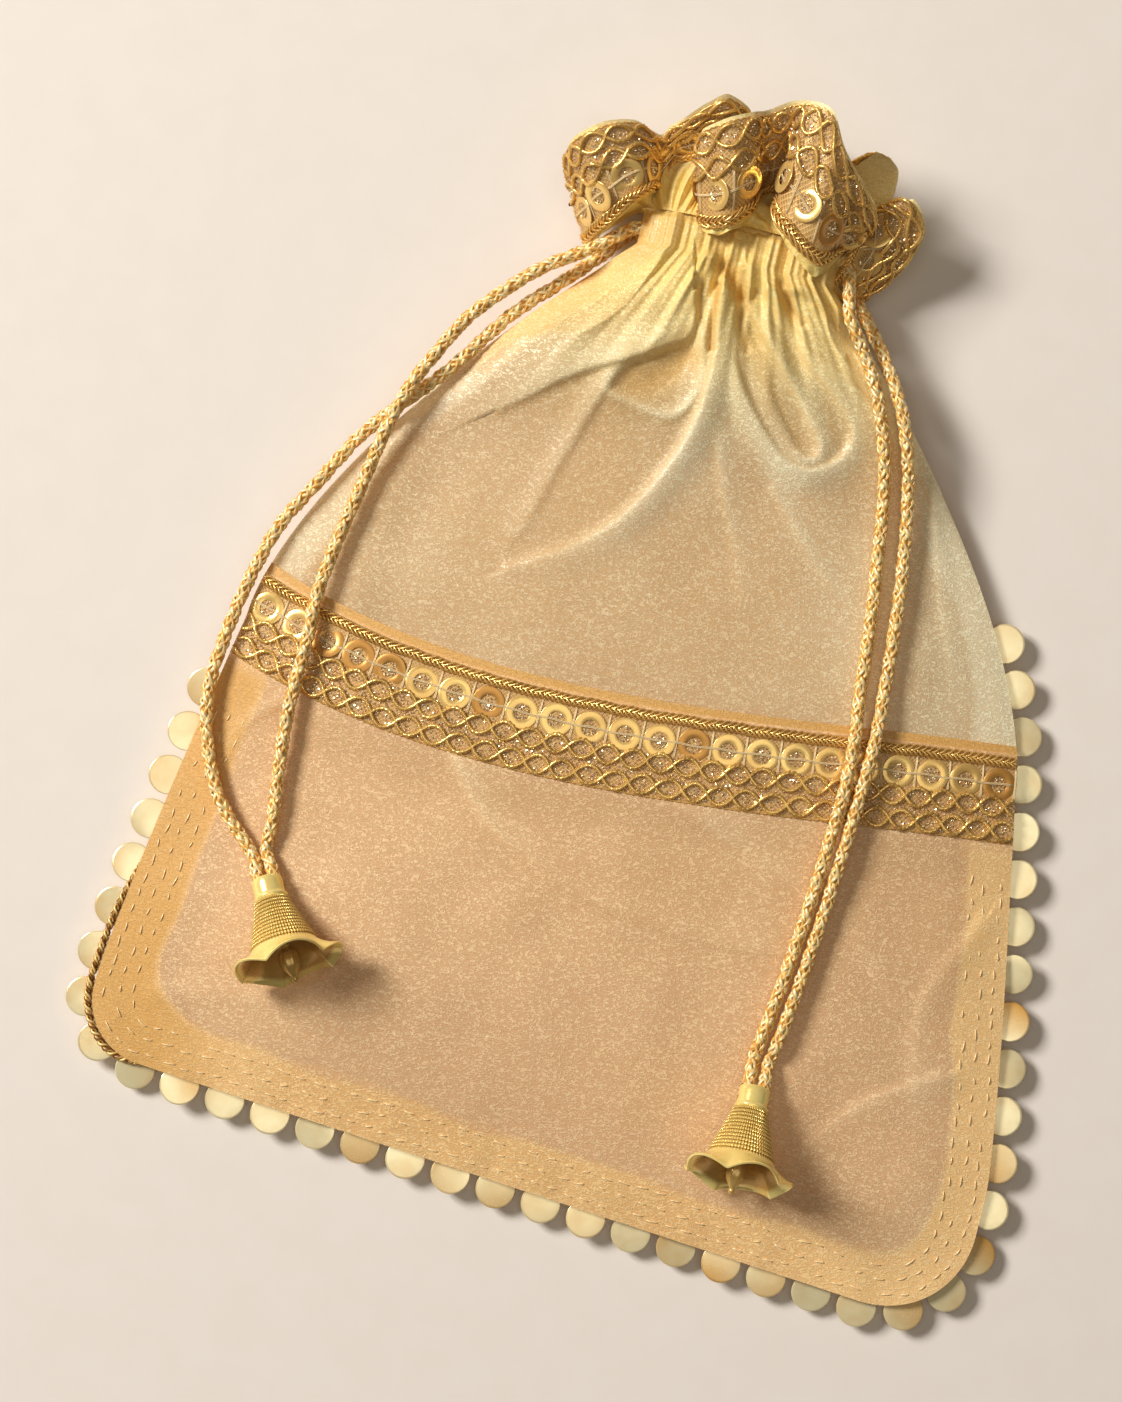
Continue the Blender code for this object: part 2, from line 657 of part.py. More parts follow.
def clapper_mesh(name):
    """An eye, a stem and a pointed bud in one casting, hanging along +Z from the pin at its origin."""
    clapper = turned(name, clapper_profile(), ROD_COLUMNS, "cast_gold")
    eye = eye_ring(name + "_eye", PIN_DIAMETER / 2 + PIN_CLEARANCE, EYE_WIRE, "cast_gold")
    eye.hide_render = True
    eye.display_type = "WIRE"
    union = clapper.modifiers.new("eye", "BOOLEAN")
    union.operation = "UNION"
    union.solver = "EXACT"
    union.object = eye
    return clapper, eye


def front_top(x, y):
    """Height of the lower front panel's upper face at a place on the bag."""
    u = x / half_width(y)
    return float(front_height(u, y) + hem_step(u, y) + CLOTH / 2)


def bell_placement(collar_top, heading):
    """Matrix of a bell that lies on the front cloth on its collar and its rim. Its own +Z runs from the
    collar's top to the mouth, and its own X is level."""
    a = math.radians(heading)
    level = Vector((-math.sin(a), math.cos(a), 0))
    axis = Vector((math.cos(a) * math.cos(BELL_TILT), math.sin(a) * math.cos(BELL_TILT), math.sin(BELL_TILT)))
    reach = BELL_LENGTH / math.cos(BELL_TILT)
    heights = [
        front_top(
            collar_top[0] + math.cos(a) * reach * share + level.x * aside,
            collar_top[1] + math.sin(a) * reach * share + level.y * aside,
        )
        - aside**2 / BELL_MOUTH
        for share in np.linspace(0, 1.1, 8)
        for aside in np.linspace(-0.25, 0.25, 7) * BELL_MOUTH
    ]
    z = max(heights) + 1.2 * GAP + BELL_COLLAR / 2 * math.cos(BELL_TILT)
    placement = Matrix((level, axis.cross(level), axis)).transposed().to_4x4()
    placement.translation = (collar_top[0], collar_top[1], z)
    return placement


def build_bell(side, placement):
    """The bell, the pin across its collar, and the clapper that swings on the pin."""
    frame = bpy.data.objects.new(f"bell_frame_{side}", None)
    frame.matrix_world = placement
    bpy.context.scene.collection.objects.link(frame)
    bell = bell_mesh(f"bell_{side}")
    hole = cross_rod(f"pin_hole_{side}", PIN_DIAMETER / 2 + PIN_CLEARANCE, BELL_COLLAR * 1.5)
    cut(bell, hole)
    pin = cross_rod(f"cross_pin_{side}", PIN_DIAMETER / 2, BELL_COLLAR)
    clapper, eye = clapper_mesh(f"clapper_{side}")
    for piece in (bell, hole, pin, clapper, eye):
        piece.parent = frame
    for piece in (hole, pin, clapper, eye):
        piece.location.z = PIN_DROP
    for piece in (clapper, eye):
        piece.rotation_euler.x = math.radians(clapper_rest_swing())


def cross_rod(name, radius, length):
    """A round rod along X, centred on its origin."""
    rod = turned(name, [(radius, -length / 2), (radius, length / 2)], ROD_COLUMNS, "cast_gold")
    rod.data.transform(Matrix.Rotation(math.pi / 2, 4, "Y"))
    return rod


# Drawcords


def channel_arc(side, cord_y, start, end, count):
    """Points along the middle of the channel on the half circle at this side, between two angles."""
    turn = np.radians(np.linspace(start, end, count))
    x = side * NECK_FLAT + CHANNEL_RADIUS * np.cos(turn)
    return np.stack([x, np.full(count, cord_y), NECK_Z + CHANNEL_RADIUS * np.sin(turn)], axis=1)


def through_points(points, spacing):
    """Points about this far apart along a Catmull-Rom curve through the given ones."""
    p = np.concatenate([[2 * points[0] - points[1]], points, [2 * points[-1] - points[-2]]])
    t = np.linspace(0, 1, 16, endpoint=False)[:, None]
    dense = [
        0.5
        * (
            2 * b
            + (c - a) * t
            + (2 * a - 5 * b + 4 * c - d) * t**2
            + (3 * b - a - 3 * c + d) * t**3
        )
        for a, b, c, d in zip(p, p[1:], p[2:], p[3:])
    ]
    dense = np.concatenate([*dense, [points[-1]]])
    length = np.concatenate([[0], np.cumsum(np.linalg.norm(np.diff(dense, axis=0), axis=1))])
    at = np.linspace(0, length[-1], round(length[-1] / spacing) + 1)
    return np.stack([np.interp(at, length, dense[:, i]) for i in range(3)], axis=1)


def strand(leaving, direction, route, placement, aside):
    """One free strand from where it leaves the channel to its place on the bell's collar."""
    out = [leaving + direction * step for step in (CORD_EXIT / 2, CORD_EXIT)]
    collar = [np.array(placement @ Vector((aside, 0, -back))) for back in (CORD_ENTRY, CORD_ENTRY / 2, GAP)]
    points = np.array([out[1], *(np.array(route) * MM), *collar[:2]])
    return np.concatenate([[out[0]], through_points(points, CORD_STEP), [collar[2]]])


def build_drawcord(name, side, cord_y, upper_route, lower_route, placement, upper_aside):
    """A whole cord: bell to slot, round the neck in the channel, and back out of the slot to the bell."""
    rest = 15.0
    near = channel_arc(1, cord_y, 90 - rest, 90, 3)
    far = channel_arc(-1, cord_y, 90, 270, 11)
    back = channel_arc(1, cord_y, -90, -90 + rest, 3)
    loop = np.concatenate([near, far, back])
    leave = np.array([math.cos(math.radians(rest)), 0, -math.sin(math.radians(rest))])
    loop[:, 0] *= side
    leave[0] *= side
    upper = strand(loop[0], leave, upper_route, placement, upper_aside)
    lower = strand(loop[-1], leave * (1, 1, -1), lower_route, placement, -upper_aside)
    points = np.concatenate([upper[::-1], loop, lower])
    curve = bpy.data.curves.new(name, "CURVE")
    curve.dimensions = "3D"
    curve.bevel_depth = CORD_DIAMETER / 2
    curve.bevel_resolution = 2
    curve.use_fill_caps = True
    spline = curve.splines.new("POLY")
    spline.points.add(len(points) - 1)
    for point, place in zip(spline.points, points):
        point.co = (*place, 1)
    curve.materials.append(material("gold_cord"))
    bpy.context.scene.collection.objects.link(bpy.data.objects.new(name, curve))


def main():
    for old in list(bpy.data.objects):
        bpy.data.objects.remove(old)
    build_panels()
    build_paillettes()
    build_edge_braid()
    build_neck_casing()
    build_frill()
    left, right = bell_placement(*LEFT_BELL), bell_placement(*RIGHT_BELL)
    build_bell("left", left)
    build_bell("right", right)
    aside = CORD_DIAMETER / 2 + GAP / 2
    build_drawcord("drawcord_left", -1, LEFT_CORD_Y, LEFT_OVER, LEFT_UNDER, left, aside)
    build_drawcord("drawcord_right", 1, RIGHT_CORD_Y, RIGHT_INNER, RIGHT_OUTER, right, -aside)


main()
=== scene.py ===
"""Visual model of a drawstring potli bag of sheer organza with sequin lace, drawcords and cast bells.

Shapes are worked out in millimetres in the CAD model's frame and become metres when a mesh is made: +X across the
bag, +Y to its mouth, +Z up off the table.
"""

import math

import bmesh
import bpy
import numpy as np
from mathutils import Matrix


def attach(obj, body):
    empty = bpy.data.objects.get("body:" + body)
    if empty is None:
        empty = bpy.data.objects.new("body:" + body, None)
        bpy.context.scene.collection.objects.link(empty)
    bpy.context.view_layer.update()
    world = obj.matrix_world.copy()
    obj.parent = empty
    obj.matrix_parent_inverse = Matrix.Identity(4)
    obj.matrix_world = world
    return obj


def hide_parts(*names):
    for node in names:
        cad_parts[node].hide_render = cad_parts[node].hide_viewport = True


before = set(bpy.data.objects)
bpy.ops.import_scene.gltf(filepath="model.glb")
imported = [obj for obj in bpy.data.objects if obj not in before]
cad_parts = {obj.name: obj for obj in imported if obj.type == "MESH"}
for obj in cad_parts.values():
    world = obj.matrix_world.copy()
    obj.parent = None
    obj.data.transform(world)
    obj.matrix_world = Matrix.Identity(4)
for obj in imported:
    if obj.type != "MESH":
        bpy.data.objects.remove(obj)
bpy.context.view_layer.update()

MM = 0.001
TURN = 2 * math.pi
UP = np.array([0, 0, 1.0])
CHANCE = np.random.default_rng(11)

# Cloth body, as the CAD model has it
BOTTOM_Y, WIDEST_Y, SHOULDER_Y, ROUND_Y, NECK_Y = -111.7, -84.7, 12.3, 58, 124.3
BOTTOM_HALF, SHOULDER_HALF, NECK_HALF = 114.5, 98.5, 25.0
BOTTOM_SLOPE, CORNER_LEFT, CORNER_RIGHT = 0.086, 15.0, 25.0
BAND_CURVE, LACE_WIDTH, HEM_SHOWS, HEM_STEP = (-6.0, 10.7, 5.0, -9.4), 21.6, 2.6, 1.1
SEAM_Z, FRONT_RISE, BACK_SAG, PANEL = 5.0, 8.5, 6.5, 0.8
NECK_Z, NECK_FLAT = 10.2, 14.8
TRIM_START_Y, TRIM_END_Y, PAILLETTES = -8.0, 48.0, 42
CHANNEL_START, CHANNEL_END, CHANNEL_RADIUS = 124.6, 133.9, 7.5
CORD_Y = {"left": 127.3, "right": 131.2}
CORD = 3.6

# A cord leaves the channel through slots this far round from its top and bottom. Its middle line has steps of 0.42
SLOT_LEAN = math.radians(15)
CORD_STEP = 0.42

# Free strands of the drawcords from the channel to the bells: x, y and height, as in the CAD model
LEFT_OVER = [
    (-35.3, 120.5, 14.2), (-47.5, 112.0, 13.6), (-60.7, 97.8, 13.8), (-68.0, 84.5, 14.4), (-71.8, 76.0, 14.8),
    (-75.0, 65.2, 13.4), (-77.3, 52.6, 11.7), (-80.2, 37.0, 11.9), (-82.1, 22.0, 13.4), (-81.9, 8.0, 14.6),
    (-82.5, -6.0, 13.9), (-81.8, -20.0, 12.8), (-80.2, -34.0, 13.1),
]
LEFT_UNDER = [
    (-33.5, 119.5, 6.8), (-40.5, 111.8, 8.2), (-51.5, 100.0, 10.2), (-62.2, 84.6, 11.4), (-71.0, 74.3, 10.6),
    (-80.5, 63.1, 9.4), (-88.5, 49.0, 9.3), (-95.5, 36.0, 9.4), (-99.8, 21.0, 9.8), (-102.3, 6.0, 10.2),
    (-103.3, -8.0, 9.8), (-100.4, -21.2, 10.0), (-94.0, -34.0, 11.4),
]
RIGHT_INNER = [
    (28.6, 124.5, 18.2), (30.4, 117.5, 20.2), (35.2, 110.8, 18.9), (40.1, 102.9, 18.8), (43.8, 94.8, 17.7),
    (47.2, 84.6, 15.7), (49.4, 74.3, 14.2), (51.0, 61.8, 14.0), (52.9, 46.0, 14.5), (54.2, 30.0, 14.9),
    (55.6, 16.0, 17.0), (55.9, 3.0, 17.5), (55.2, -11.0, 16.4), (54.0, -28.0, 15.4), (52.1, -46.0, 15.6),
    (50.2, -60.0, 15.6),
]
RIGHT_OUTER = [
    (32.5, 122.5, 8.5), (38.8, 113.8, 13.0), (43.9, 105.8, 16.4), (48.0, 98.6, 17.4), (51.0, 91.5, 16.8),
    (54.3, 80.6, 14.6), (57.4, 63.3, 13.2), (59.0, 48.0, 13.8), (60.2, 30.0, 14.4), (60.6, 17.0, 16.2),
    (60.0, 4.0, 17.1), (59.2, -11.0, 16.2), (58.0, -28.0, 15.2), (56.2, -46.0, 15.3), (54.4, -60.0, 15.5),
]

# Bells: the middle of the collar's top, the axis towards the mouth, and the level direction across it
BELLS = {
    "left": ((-77.9, -50.3, 15.5), (0.46306, -0.80204, 0.37723), (0.86603, 0.5, 0.0)),
    "right": ((51.5, -72.7, 17.0), (-0.0097, -0.92607, 0.37723), (0.99995, -0.01047, 0.0)),
}
BELL_LENGTH, BELL_COLLAR, BELL_MOUTH, BELL_WALL = 22.6, 7.8, 26.0, 0.6
PIN_DROP, CLAPPER_REST = 2.84, 18.25

# The ringed cone in the bell's skin: its first row, its rings and the rows in each, and the last row outside
CONE_START, CONE_RINGS, RING_ROWS, LAST_OUTSIDE = 12, 12, 8, 118

# The bell's flare, as shares of the mouth's radius and of the length, and how far its petals are drawn out
FLARE = [
    (0.66, 0.82, 0.03), (0.72, 0.865, 0.12), (0.80, 0.91, 0.3), (0.88, 0.95, 0.55), (0.95, 0.982, 0.8),
    (1.0, 1.0, 1.0),
]
FLARE_INSIDE = [*FLARE[4:0:-1], (0.62, 0.78, 0.0)]

# The clapper from its pin down: radius and place along it, for a stem, a bead and a flower bud
CLAPPER = [
    (0.42, 0.9), (0.5, 3), (0.5, 9), (0.55, 13.2), (0.95, 13.9), (1.0, 14.3), (0.75, 14.8), (1.6, 15.6), (2.15, 16.7),
    (2.35, 17.8), (2.3, 18.9), (2.0, 20.0), (1.45, 21.1), (1.0, 21.8), (0.72, 22.3), (0.8, 22.8), (0.75, 23.2),
    (0.4, 23.7), (0.05, 24.0),
]

# Edges of the folds that run down from the neck, each as x and y from the neck down. Beside it the cloth is raised and
# gathered: how far to its left and to its right as it runs, how much at its start and at its end, and how high
FOLDS = [
    ([(-8.6, 114.4), (-7.2, 107.9), (-7.8, 103.9), (-13.1, 100.3), (-19.7, 96.0), (-28.3, 91.9),
      (-35.5, 87.4), (-40.1, 83.6), (-48.9, 76.8)], 0.9, 8.5, 0.85, 0.35, 4.6),
    ([(-16.3, 99.2), (-21.8, 93.4), (-24.5, 87.3), (-27.0, 80.5), (-29.4, 73.0), (-31.8, 65.6),
      (-34.0, 57.5), (-37.0, 47.1)], 0.9, 3.6, 0.60, 0.12, 2.0),
    ([(-8.1, 122.8), (-7.9, 114.6), (-6.2, 108.1), (-3.6, 103.2), (-1.9, 98.1), (-1.9, 91.9), (-3.8, 87.0),
      (-7.2, 84.1), (-12.1, 84.2), (-17.9, 85.4), (-22.9, 86.1), (-24.5, 88.3), (-23.9, 91.2), (-20.3, 95.5)],
      1.1, 1.5, 0.80, 0.30, 2.6),
    ([(-6.3, 123.5), (-5.3, 115.2), (-4.0, 108.6), (-1.9, 103.6)], 2.0, 2.0, 0.80, 0.50, 4.2),
    ([(-1.9, 115.3), (-1.2, 109.3), (-0.2, 104.0), (0.3, 98.6), (0.3, 93.1), (-0.1, 87.5), (-1.2, 81.8),
      (-2.7, 76.6), (-4.9, 71.3), (-7.6, 65.4), (-10.6, 60.3), (-14.8, 54.8), (-19.8, 49.8), (-25.0, 45.9),
      (-30.4, 42.5), (-37.6, 38.1)], 5.5, 0.8, 0.90, 0.15, 4.6),
    ([(0.7, 114.6), (3.6, 107.7), (5.2, 99.8), (9.2, 93.2), (14.0, 87.4), (18.5, 83.0), (22.6, 80.2),
      (26.4, 78.7), (29.8, 78.8), (33.5, 80.7), (36.9, 83.9), (38.4, 87.7), (37.8, 91.7), (34.7, 95.8),
      (30.4, 99.6), (24.6, 103.7), (19.3, 108.6), (14.8, 113.1), (10.2, 118.2)], 0.9, 4.2, 0.70, 0.45, 3.0),
    ([(2.6, 122.6), (5.1, 116.3), (9.3, 110.4), (14.7, 104.8), (19.4, 99.7), (24.0, 94.6), (27.8, 90.0),
      (30.4, 86.5), (30.8, 83.1), (28.5, 81.5), (25.5, 82.6), (21.0, 87.0), (16.2, 92.8), (12.7, 98.8),
      (10.1, 103.7)], 3.2, 0.8, 0.85, 0.20, 3.4),
    ([(9.9, 119.5), (14.5, 114.4), (17.9, 110.4), (22.5, 106.6), (27.9, 104.1), (33.2, 102.3), (38.8, 98.8),
      (43.2, 95.0)], 0.9, 2.8, 0.60, 0.30, 2.2),
    ([(13.4, 120.3), (17.0, 121.2), (20.8, 120.0), (24.6, 118.1), (28.7, 115.7), (32.8, 112.5)], 1.2, 1.2,
      0.6, 0.5, 1.6),
    ([(21.2, 118.0), (25.7, 113.6), (30.2, 109.1), (34.7, 104.7), (39.6, 98.3)], 1.3, 1.3, 0.45, 0.2, 1.2),
    ([(5.5, 81.3), (7.7, 75.6), (10.0, 70.0), (12.7, 63.7), (15.7, 57.5), (18.7, 50.0), (20.6, 43.6)], 3.6,
      0.8, 0.32, 0.10, 0.9),
    ([(22.4, 72.2), (28.8, 65.5), (35.2, 58.7), (42.1, 52.8), (51.2, 46.7)], 3.2, 0.9, 0.30, 0.14, 0.8),
    ([(-62.0, 86.0), (-69.0, 72.0), (-76.0, 55.0), (-80.0, 40.0)], 1.0, 3.2, 0.22, 0.10, 0.6),
    ([(62.0, 80.0), (66.0, 66.0), (72.0, 50.0), (78.0, 34.0)], 3.4, 1.0, 0.24, 0.10, 0.7),
]
LOWER_FOLDS = [
    ([(-40.9, -9.0), (-28.6, -23.0), (-14.0, -31.5), (1.4, -36.7), (26.2, -39.6), (45.5, -39.7)],
     4.2, 1.4, 0.42, 0.12, 1.0),
    ([(5.4, -5.3), (38.6, -16.5), (65.1, -28.8), (82.4, -45.8)], 5.6, 1.6, 0.32, 0.14, 0.9),
    ([(-83.5, -5.6), (-91.6, -13.0), (-96.0, -24.8)], 1.0, 2.6, 0.34, 0.16, 0.6),
    ([(-98.0, -84.0), (-70.0, -80.0), (-40.0, -84.0)], 3.0, 3.0, 0.10, 0.05, 0.5),
    ([(96.0, -60.0), (78.0, -72.0), (64.0, -90.0)], 5.0, 1.5, 0.24, 0.30, 0.8),
    ([(98.0, -20.0), (88.0, -44.0), (92.0, -70.0)], 4.0, 2.0, 0.20, 0.22, 0.7),
]

# Hollows between folds, where the cloth sinks, shows the layers below and takes painted shade: x, y, reach and depth
HOLLOWS = [
    ([(-6.5, 98.4), (-9.9, 94.8), (-13.0, 92.0), (-17.6, 89.8)], 4.2, 0.62),
    ([(-1.8, 122.2), (0.6, 119.4), (2.7, 116.4)], 2.0, 1.0),
    ([(-3.2, 117.8), (-2.6, 109.3), (-1.2, 102.4)], 1.0, 0.85),
    ([(-7.6, 103.3), (-11.7, 98.9), (-17.9, 94.9)], 2.2, 0.45),
    ([(7.4, 107.0), (12.3, 99.4), (19.0, 91.4), (24.3, 85.1)], 2.8, 0.30),
    ([(6.0, 118.0), (4.2, 111.0), (7.6, 104.0)], 1.3, 0.55),
    ([(-24.0, 78.0), (-19.0, 70.0), (-23.0, 58.0)], 9.0, 0.20),
    ([(11.4, 121.4), (15.0, 117.4), (19.4, 113.4)], 1.0, 0.55),
]

# Frill from the left round its front to the right and back underneath: the place of the lace's braid and that of the
# mouth edge. Then, by row, how far the cloth below the braid sags back over the neck, and the row at the far right
FRILL = [
    (-36.9, 121.8, 9.0, -46.9, 141.0, 14.0), (-33.0, 126.2, 19.0, -45.5, 143.8, 25.0),
    (-28.5, 132.2, 23.0, -39.2, 148.4, 29.0), (-24.4, 137.3, 20.0, -31.7, 151.1, 26.0),
    (-22.8, 138.6, 14.0, -25.3, 150.1, 19.0), (-21.7, 146.9, 13.0, -23.3, 152.5, 20.0),
    (-18.9, 147.0, 14.0, -19.7, 155.5, 24.0), (-14.4, 149.0, 15.0, -16.1, 158.8, 26.0),
    (-10.0, 151.3, 16.0, -11.3, 162.1, 27.0), (-6.3, 151.5, 13.0, -5.0, 160.5, 20.0),
    (-9.7, 145.1, 13.0, -10.2, 154.9, 20.0), (-10.5, 131.2, 23.0, -16.0, 151.7, 29.0),
    (-4.6, 131.3, 28.0, -10.3, 155.2, 34.0), (0.3, 136.9, 24.0, -4.4, 158.2, 33.0),
    (2.4, 143.6, 13.0, -0.9, 160.2, 29.0), (8.8, 145.4, 13.0, 4.0, 163.4, 30.0),
    (6.0, 137.9, 24.0, 9.4, 164.2, 33.0), (10.6, 131.5, 28.0, 14.2, 162.3, 35.0),
    (19.3, 127.4, 26.0, 19.2, 154.4, 33.0), (24.1, 133.8, 18.0, 29.8, 143.5, 26.0),
    (23.6, 131.5, 14.0, 30.5, 139.5, 19.0), (26.0, 138.5, 12.0, 32.5, 145.5, 17.0),
    (27.5, 140.5, 15.0, 38.0, 148.5, 23.0), (27.0, 135.5, 16.0, 43.0, 142.5, 18.0),
    (25.5, 130.0, 15.0, 40.5, 133.0, 12.0), (23.0, 125.5, 11.0, 33.0, 124.5, 6.0),
    (20.0, 124.5, 6.0, 27.0, 125.5, 3.0), (21.5, 131.0, 2.1, 30.5, 135.5, 3.0),
    (23.5, 141.0, 5.0, 33.5, 147.0, 8.0), (22.2, 147.0, 8.0, 33.2, 155.8, 17.0),
    (18.1, 148.5, 7.0, 27.1, 157.8, 24.0), (13.8, 150.7, 6.0, 21.7, 154.4, 17.0),
    (9.0, 150.1, 5.0, 13.7, 159.3, 16.0), (1.6, 149.6, 5.0, 3.7, 162.0, 12.0),
    (-5.4, 148.0, 2.1, -5.0, 159.3, 10.0), (-13.4, 144.8, 2.1, -16.1, 156.0, 9.0),
    (-21.4, 139.2, 2.1, -25.0, 148.9, 8.0), (-27.8, 134.6, 2.1, -35.9, 145.1, 7.0),
    (-33.3, 128.9, 5.0, -42.2, 137.4, 7.0),
]
FRILL_SAG = {11: 1.8, 12: 2.1, 13: 2.4, 16: 2.1, 17: 1.8, 18: 3.0}
FRILL_RIGHT = 23

# Lace, across its width from the braid to the scalloped edge
BRAID_ROWS = (0.75, 2.0)
RING_ROW, RING_RADIUS, RING_HOLE, RING_PITCH = 7.1, 4.15, 2.05, 8.45
CHAIN_ROWS, CHAIN_PITCH, CHAIN_HEIGHT = (12.7, 18.6), 6.45, 2.25
NET_STEP, WIRE_STEP, WIRE_RADIUS, WIRE_PITCH, GLITTER_FOR_EACH_MM = 1.1, 0.3, 0.64, 2.3, 21

# Trim: a paillette's radius, its hole's, and how far from its middle the hole lies. Then how far out and how high the
# middles hang, and the height and pitch of the twisted braid over them
DISC_RADIUS, DISC_HOLE, DISC_HOLE_OFF = 5.0, 0.6, 3.8
DISC_OUT, DISC_Z, TWIST_Z, TWIST_PITCH = 2.0, 4.3, 5.35, 3.4

# Hem: the width that is turned and that of its raw fold, and the rows of stitches by inset, pitch and seed
HEM_TURNED, HEM_FOLD = 13.2, 12.5
STITCH_ROWS = ((2.8, 4.4, 1), (6.6, 5.2, 2), (10.0, 4.7, 3))

# Radius of the casing and of the frill's foot round the neck's flat middle
CASING_RADIUS, FRILL_FOOT = 8.9, 11.0

# Light: each lamp's place in metres, size, power and tint, then the world's tint and strength, and the floor's height
LAMPS = {
    "key_softbox": ((-1.70, 0.62, 1.56), 0.70, 64.0, (1.0, 0.972, 0.95)),
    "top_softbox": ((0.04, 0.02, 1.35), 0.9, 3.1, (1.0, 0.95, 0.86)),
}
SKY_TINT, SKY_STRENGTH, FLOOR_Z = (1.0, 0.82, 0.62, 1), 0.09, -0.0002

# Picture: the middle of the view on the bag, the camera's height and its turn
VIEW_X, VIEW_Y, VIEW_HEIGHT, VIEW_TURN = -17.24, 9.46, 834.0, 13.3


def smooth(value):
    """0 below 0, 1 above 1, and an S-curve between."""
    t = np.clip(value, 0, 1)
    return t * t * (3 - 2 * t)


def blend(low, high, share):
    """low at share 0, high at share 1, and straight between."""
    return low + (high - low) * share


def unit(vectors):
    """The vectors with length 1."""
    return vectors / np.maximum(np.linalg.norm(vectors, axis=-1, keepdims=True), 1e-9)


def round_circle(count):
    """This many angles, evenly round a circle."""
    return np.linspace(0, TURN, count, endpoint=False)


def run_along(path):
    """How far along a path each of its points lies."""
    return np.concatenate([[0], np.cumsum(np.linalg.norm(np.diff(path, axis=0), axis=1))])


def read_off(at, run, line):
    """The points of a line at these distances, where run says how far along each of its own points lies."""
    return np.stack([np.interp(at, run, numbers) for numbers in line.T], axis=1)


def closed(line):
    """The line with its first point again at its end."""
    return np.concatenate([line, line[:1]])


def rounded(a, b, c, d, t):
    """Catmull-Rom curve: from b at t = 0 to c at t = 1, heading at b from a to c and at c from b to d."""
    return 0.5 * (2 * b + (c - a) * t + (2 * a - 5 * b + 4 * c - d) * t**2 + (3 * b - a - 3 * c + d) * t**3)


def mottle(x, y, cell, seed):
    """Smooth random field from -1 to 1: random numbers on a lattice of this cell size, S-curved in between."""
    lattice = np.random.default_rng(seed).uniform(-1, 1, (64, 64))
    gx, gy = x / cell, y / cell
    ix, iy = np.floor(gx).astype(int), np.floor(gy).astype(int)
    fx, fy = smooth(gx - ix), smooth(gy - iy)
    low = blend(lattice[ix % 64, iy % 64], lattice[(ix + 1) % 64, iy % 64], fx)
    high = blend(lattice[ix % 64, (iy + 1) % 64], lattice[(ix + 1) % 64, (iy + 1) % 64], fx)
    return blend(low, high, fy)


# Body shape, with the same formulas as the CAD panels


def half_width(y):
    """Half the width at y: a slow taper up to the shoulder, which then curves in to the neck."""
    taper = np.clip((y - WIDEST_Y) / (SHOULDER_Y - WIDEST_Y), 0, 1) ** 1.2
    shoulder = np.clip((y - SHOULDER_Y) / (NECK_Y - SHOULDER_Y), 0, 1) ** 1.55
    return BOTTOM_HALF - (BOTTOM_HALF - SHOULDER_HALF) * taper - (SHOULDER_HALF - NECK_HALF) * shoulder


def bottom_edge(u):
    """y of the closed bottom at u, from -1 at the left side to 1 at the right: leaning, with round corners."""
    x = u * BOTTOM_HALF
    radius = np.where(x < 0, CORNER_LEFT, CORNER_RIGHT)
    into_corner = np.clip((np.abs(x) - (BOTTOM_HALF - radius)) / radius, 0, 1)
    return BOTTOM_Y - BOTTOM_SLOPE * x + radius * (1 - np.sqrt(1 - into_corner**2))


def band_edge(u):
    """y of the lace band's lower edge at u: a lopsided smile, lowest a little to the left of the middle."""
    return np.polyval(BAND_CURVE, u)


def roundness(y):
    """0 where the section is a flat lens, 1 at the neck where it is a stadium."""
    return smooth((y - ROUND_Y) / (NECK_Y - ROUND_Y))


def section(u, y):
    """Height share of the section at u, 1 along the middle and 0 at both seams."""
    width = half_width(y)
    end = np.clip((np.abs(u) * width - (width - NECK_Z)) / NECK_Z, 0, 1)
    return blend(1 - u**2, np.sqrt(1 - end**2), roundness(y))


def belly(u, y):
    """0 at the closed bottom and 1 once the two panels have parted."""
    return 1 - (1 - np.clip((y - bottom_edge(u)) / 60, 0, 1)) ** 2


def seam_height(y):
    """Height of the side seams, which rise from the closed body to the middle of the neck."""
    return blend(SEAM_Z, NECK_Z, roundness(y))


def seam_half_gap(y):
    """Half the distance between the panels at a side seam, wider where the trim lies between them."""
    return (blend(2.0, 0.6, smooth((y - ROUND_Y) / 20)) + PANEL) / 2


def front_height(u, y):
    """Height of the front panel: above the seam by half the gap and by the section's rise."""
    rise = blend(FRONT_RISE, NECK_Z - PANEL / 2 - seam_half_gap(y), roundness(y))
    return seam_height(y) + seam_half_gap(y) + rise * section(u, y) * belly(u, y)


def back_height(u, y):
    """Height of the back panel: below the seam as the front is above it, but never below the table."""
    sag = blend(BACK_SAG, NECK_Z - PANEL / 2 - seam_half_gap(y), roundness(y))
    return np.maximum(PANEL / 2, seam_height(y) - seam_half_gap(y) - sag * section(u, y) * belly(u, y))


def hem_step(u, y):
    """How far the lower front panel stands up where its hem overlaps the upper one."""
    return HEM_STEP * smooth((y - band_edge(u)) / 12 + 1)


def from_seam(u, y):
    """Distance in from the nearer side seam."""
    return (1 - np.abs(u)) * half_width(y)


def cloth_points(u, y, z):
    """Points (x, y, z) of cloth at this height over a grid of u and y."""
    return np.stack([u * half_width(y), y, z], axis=-1)


# Meshes from whole arrays


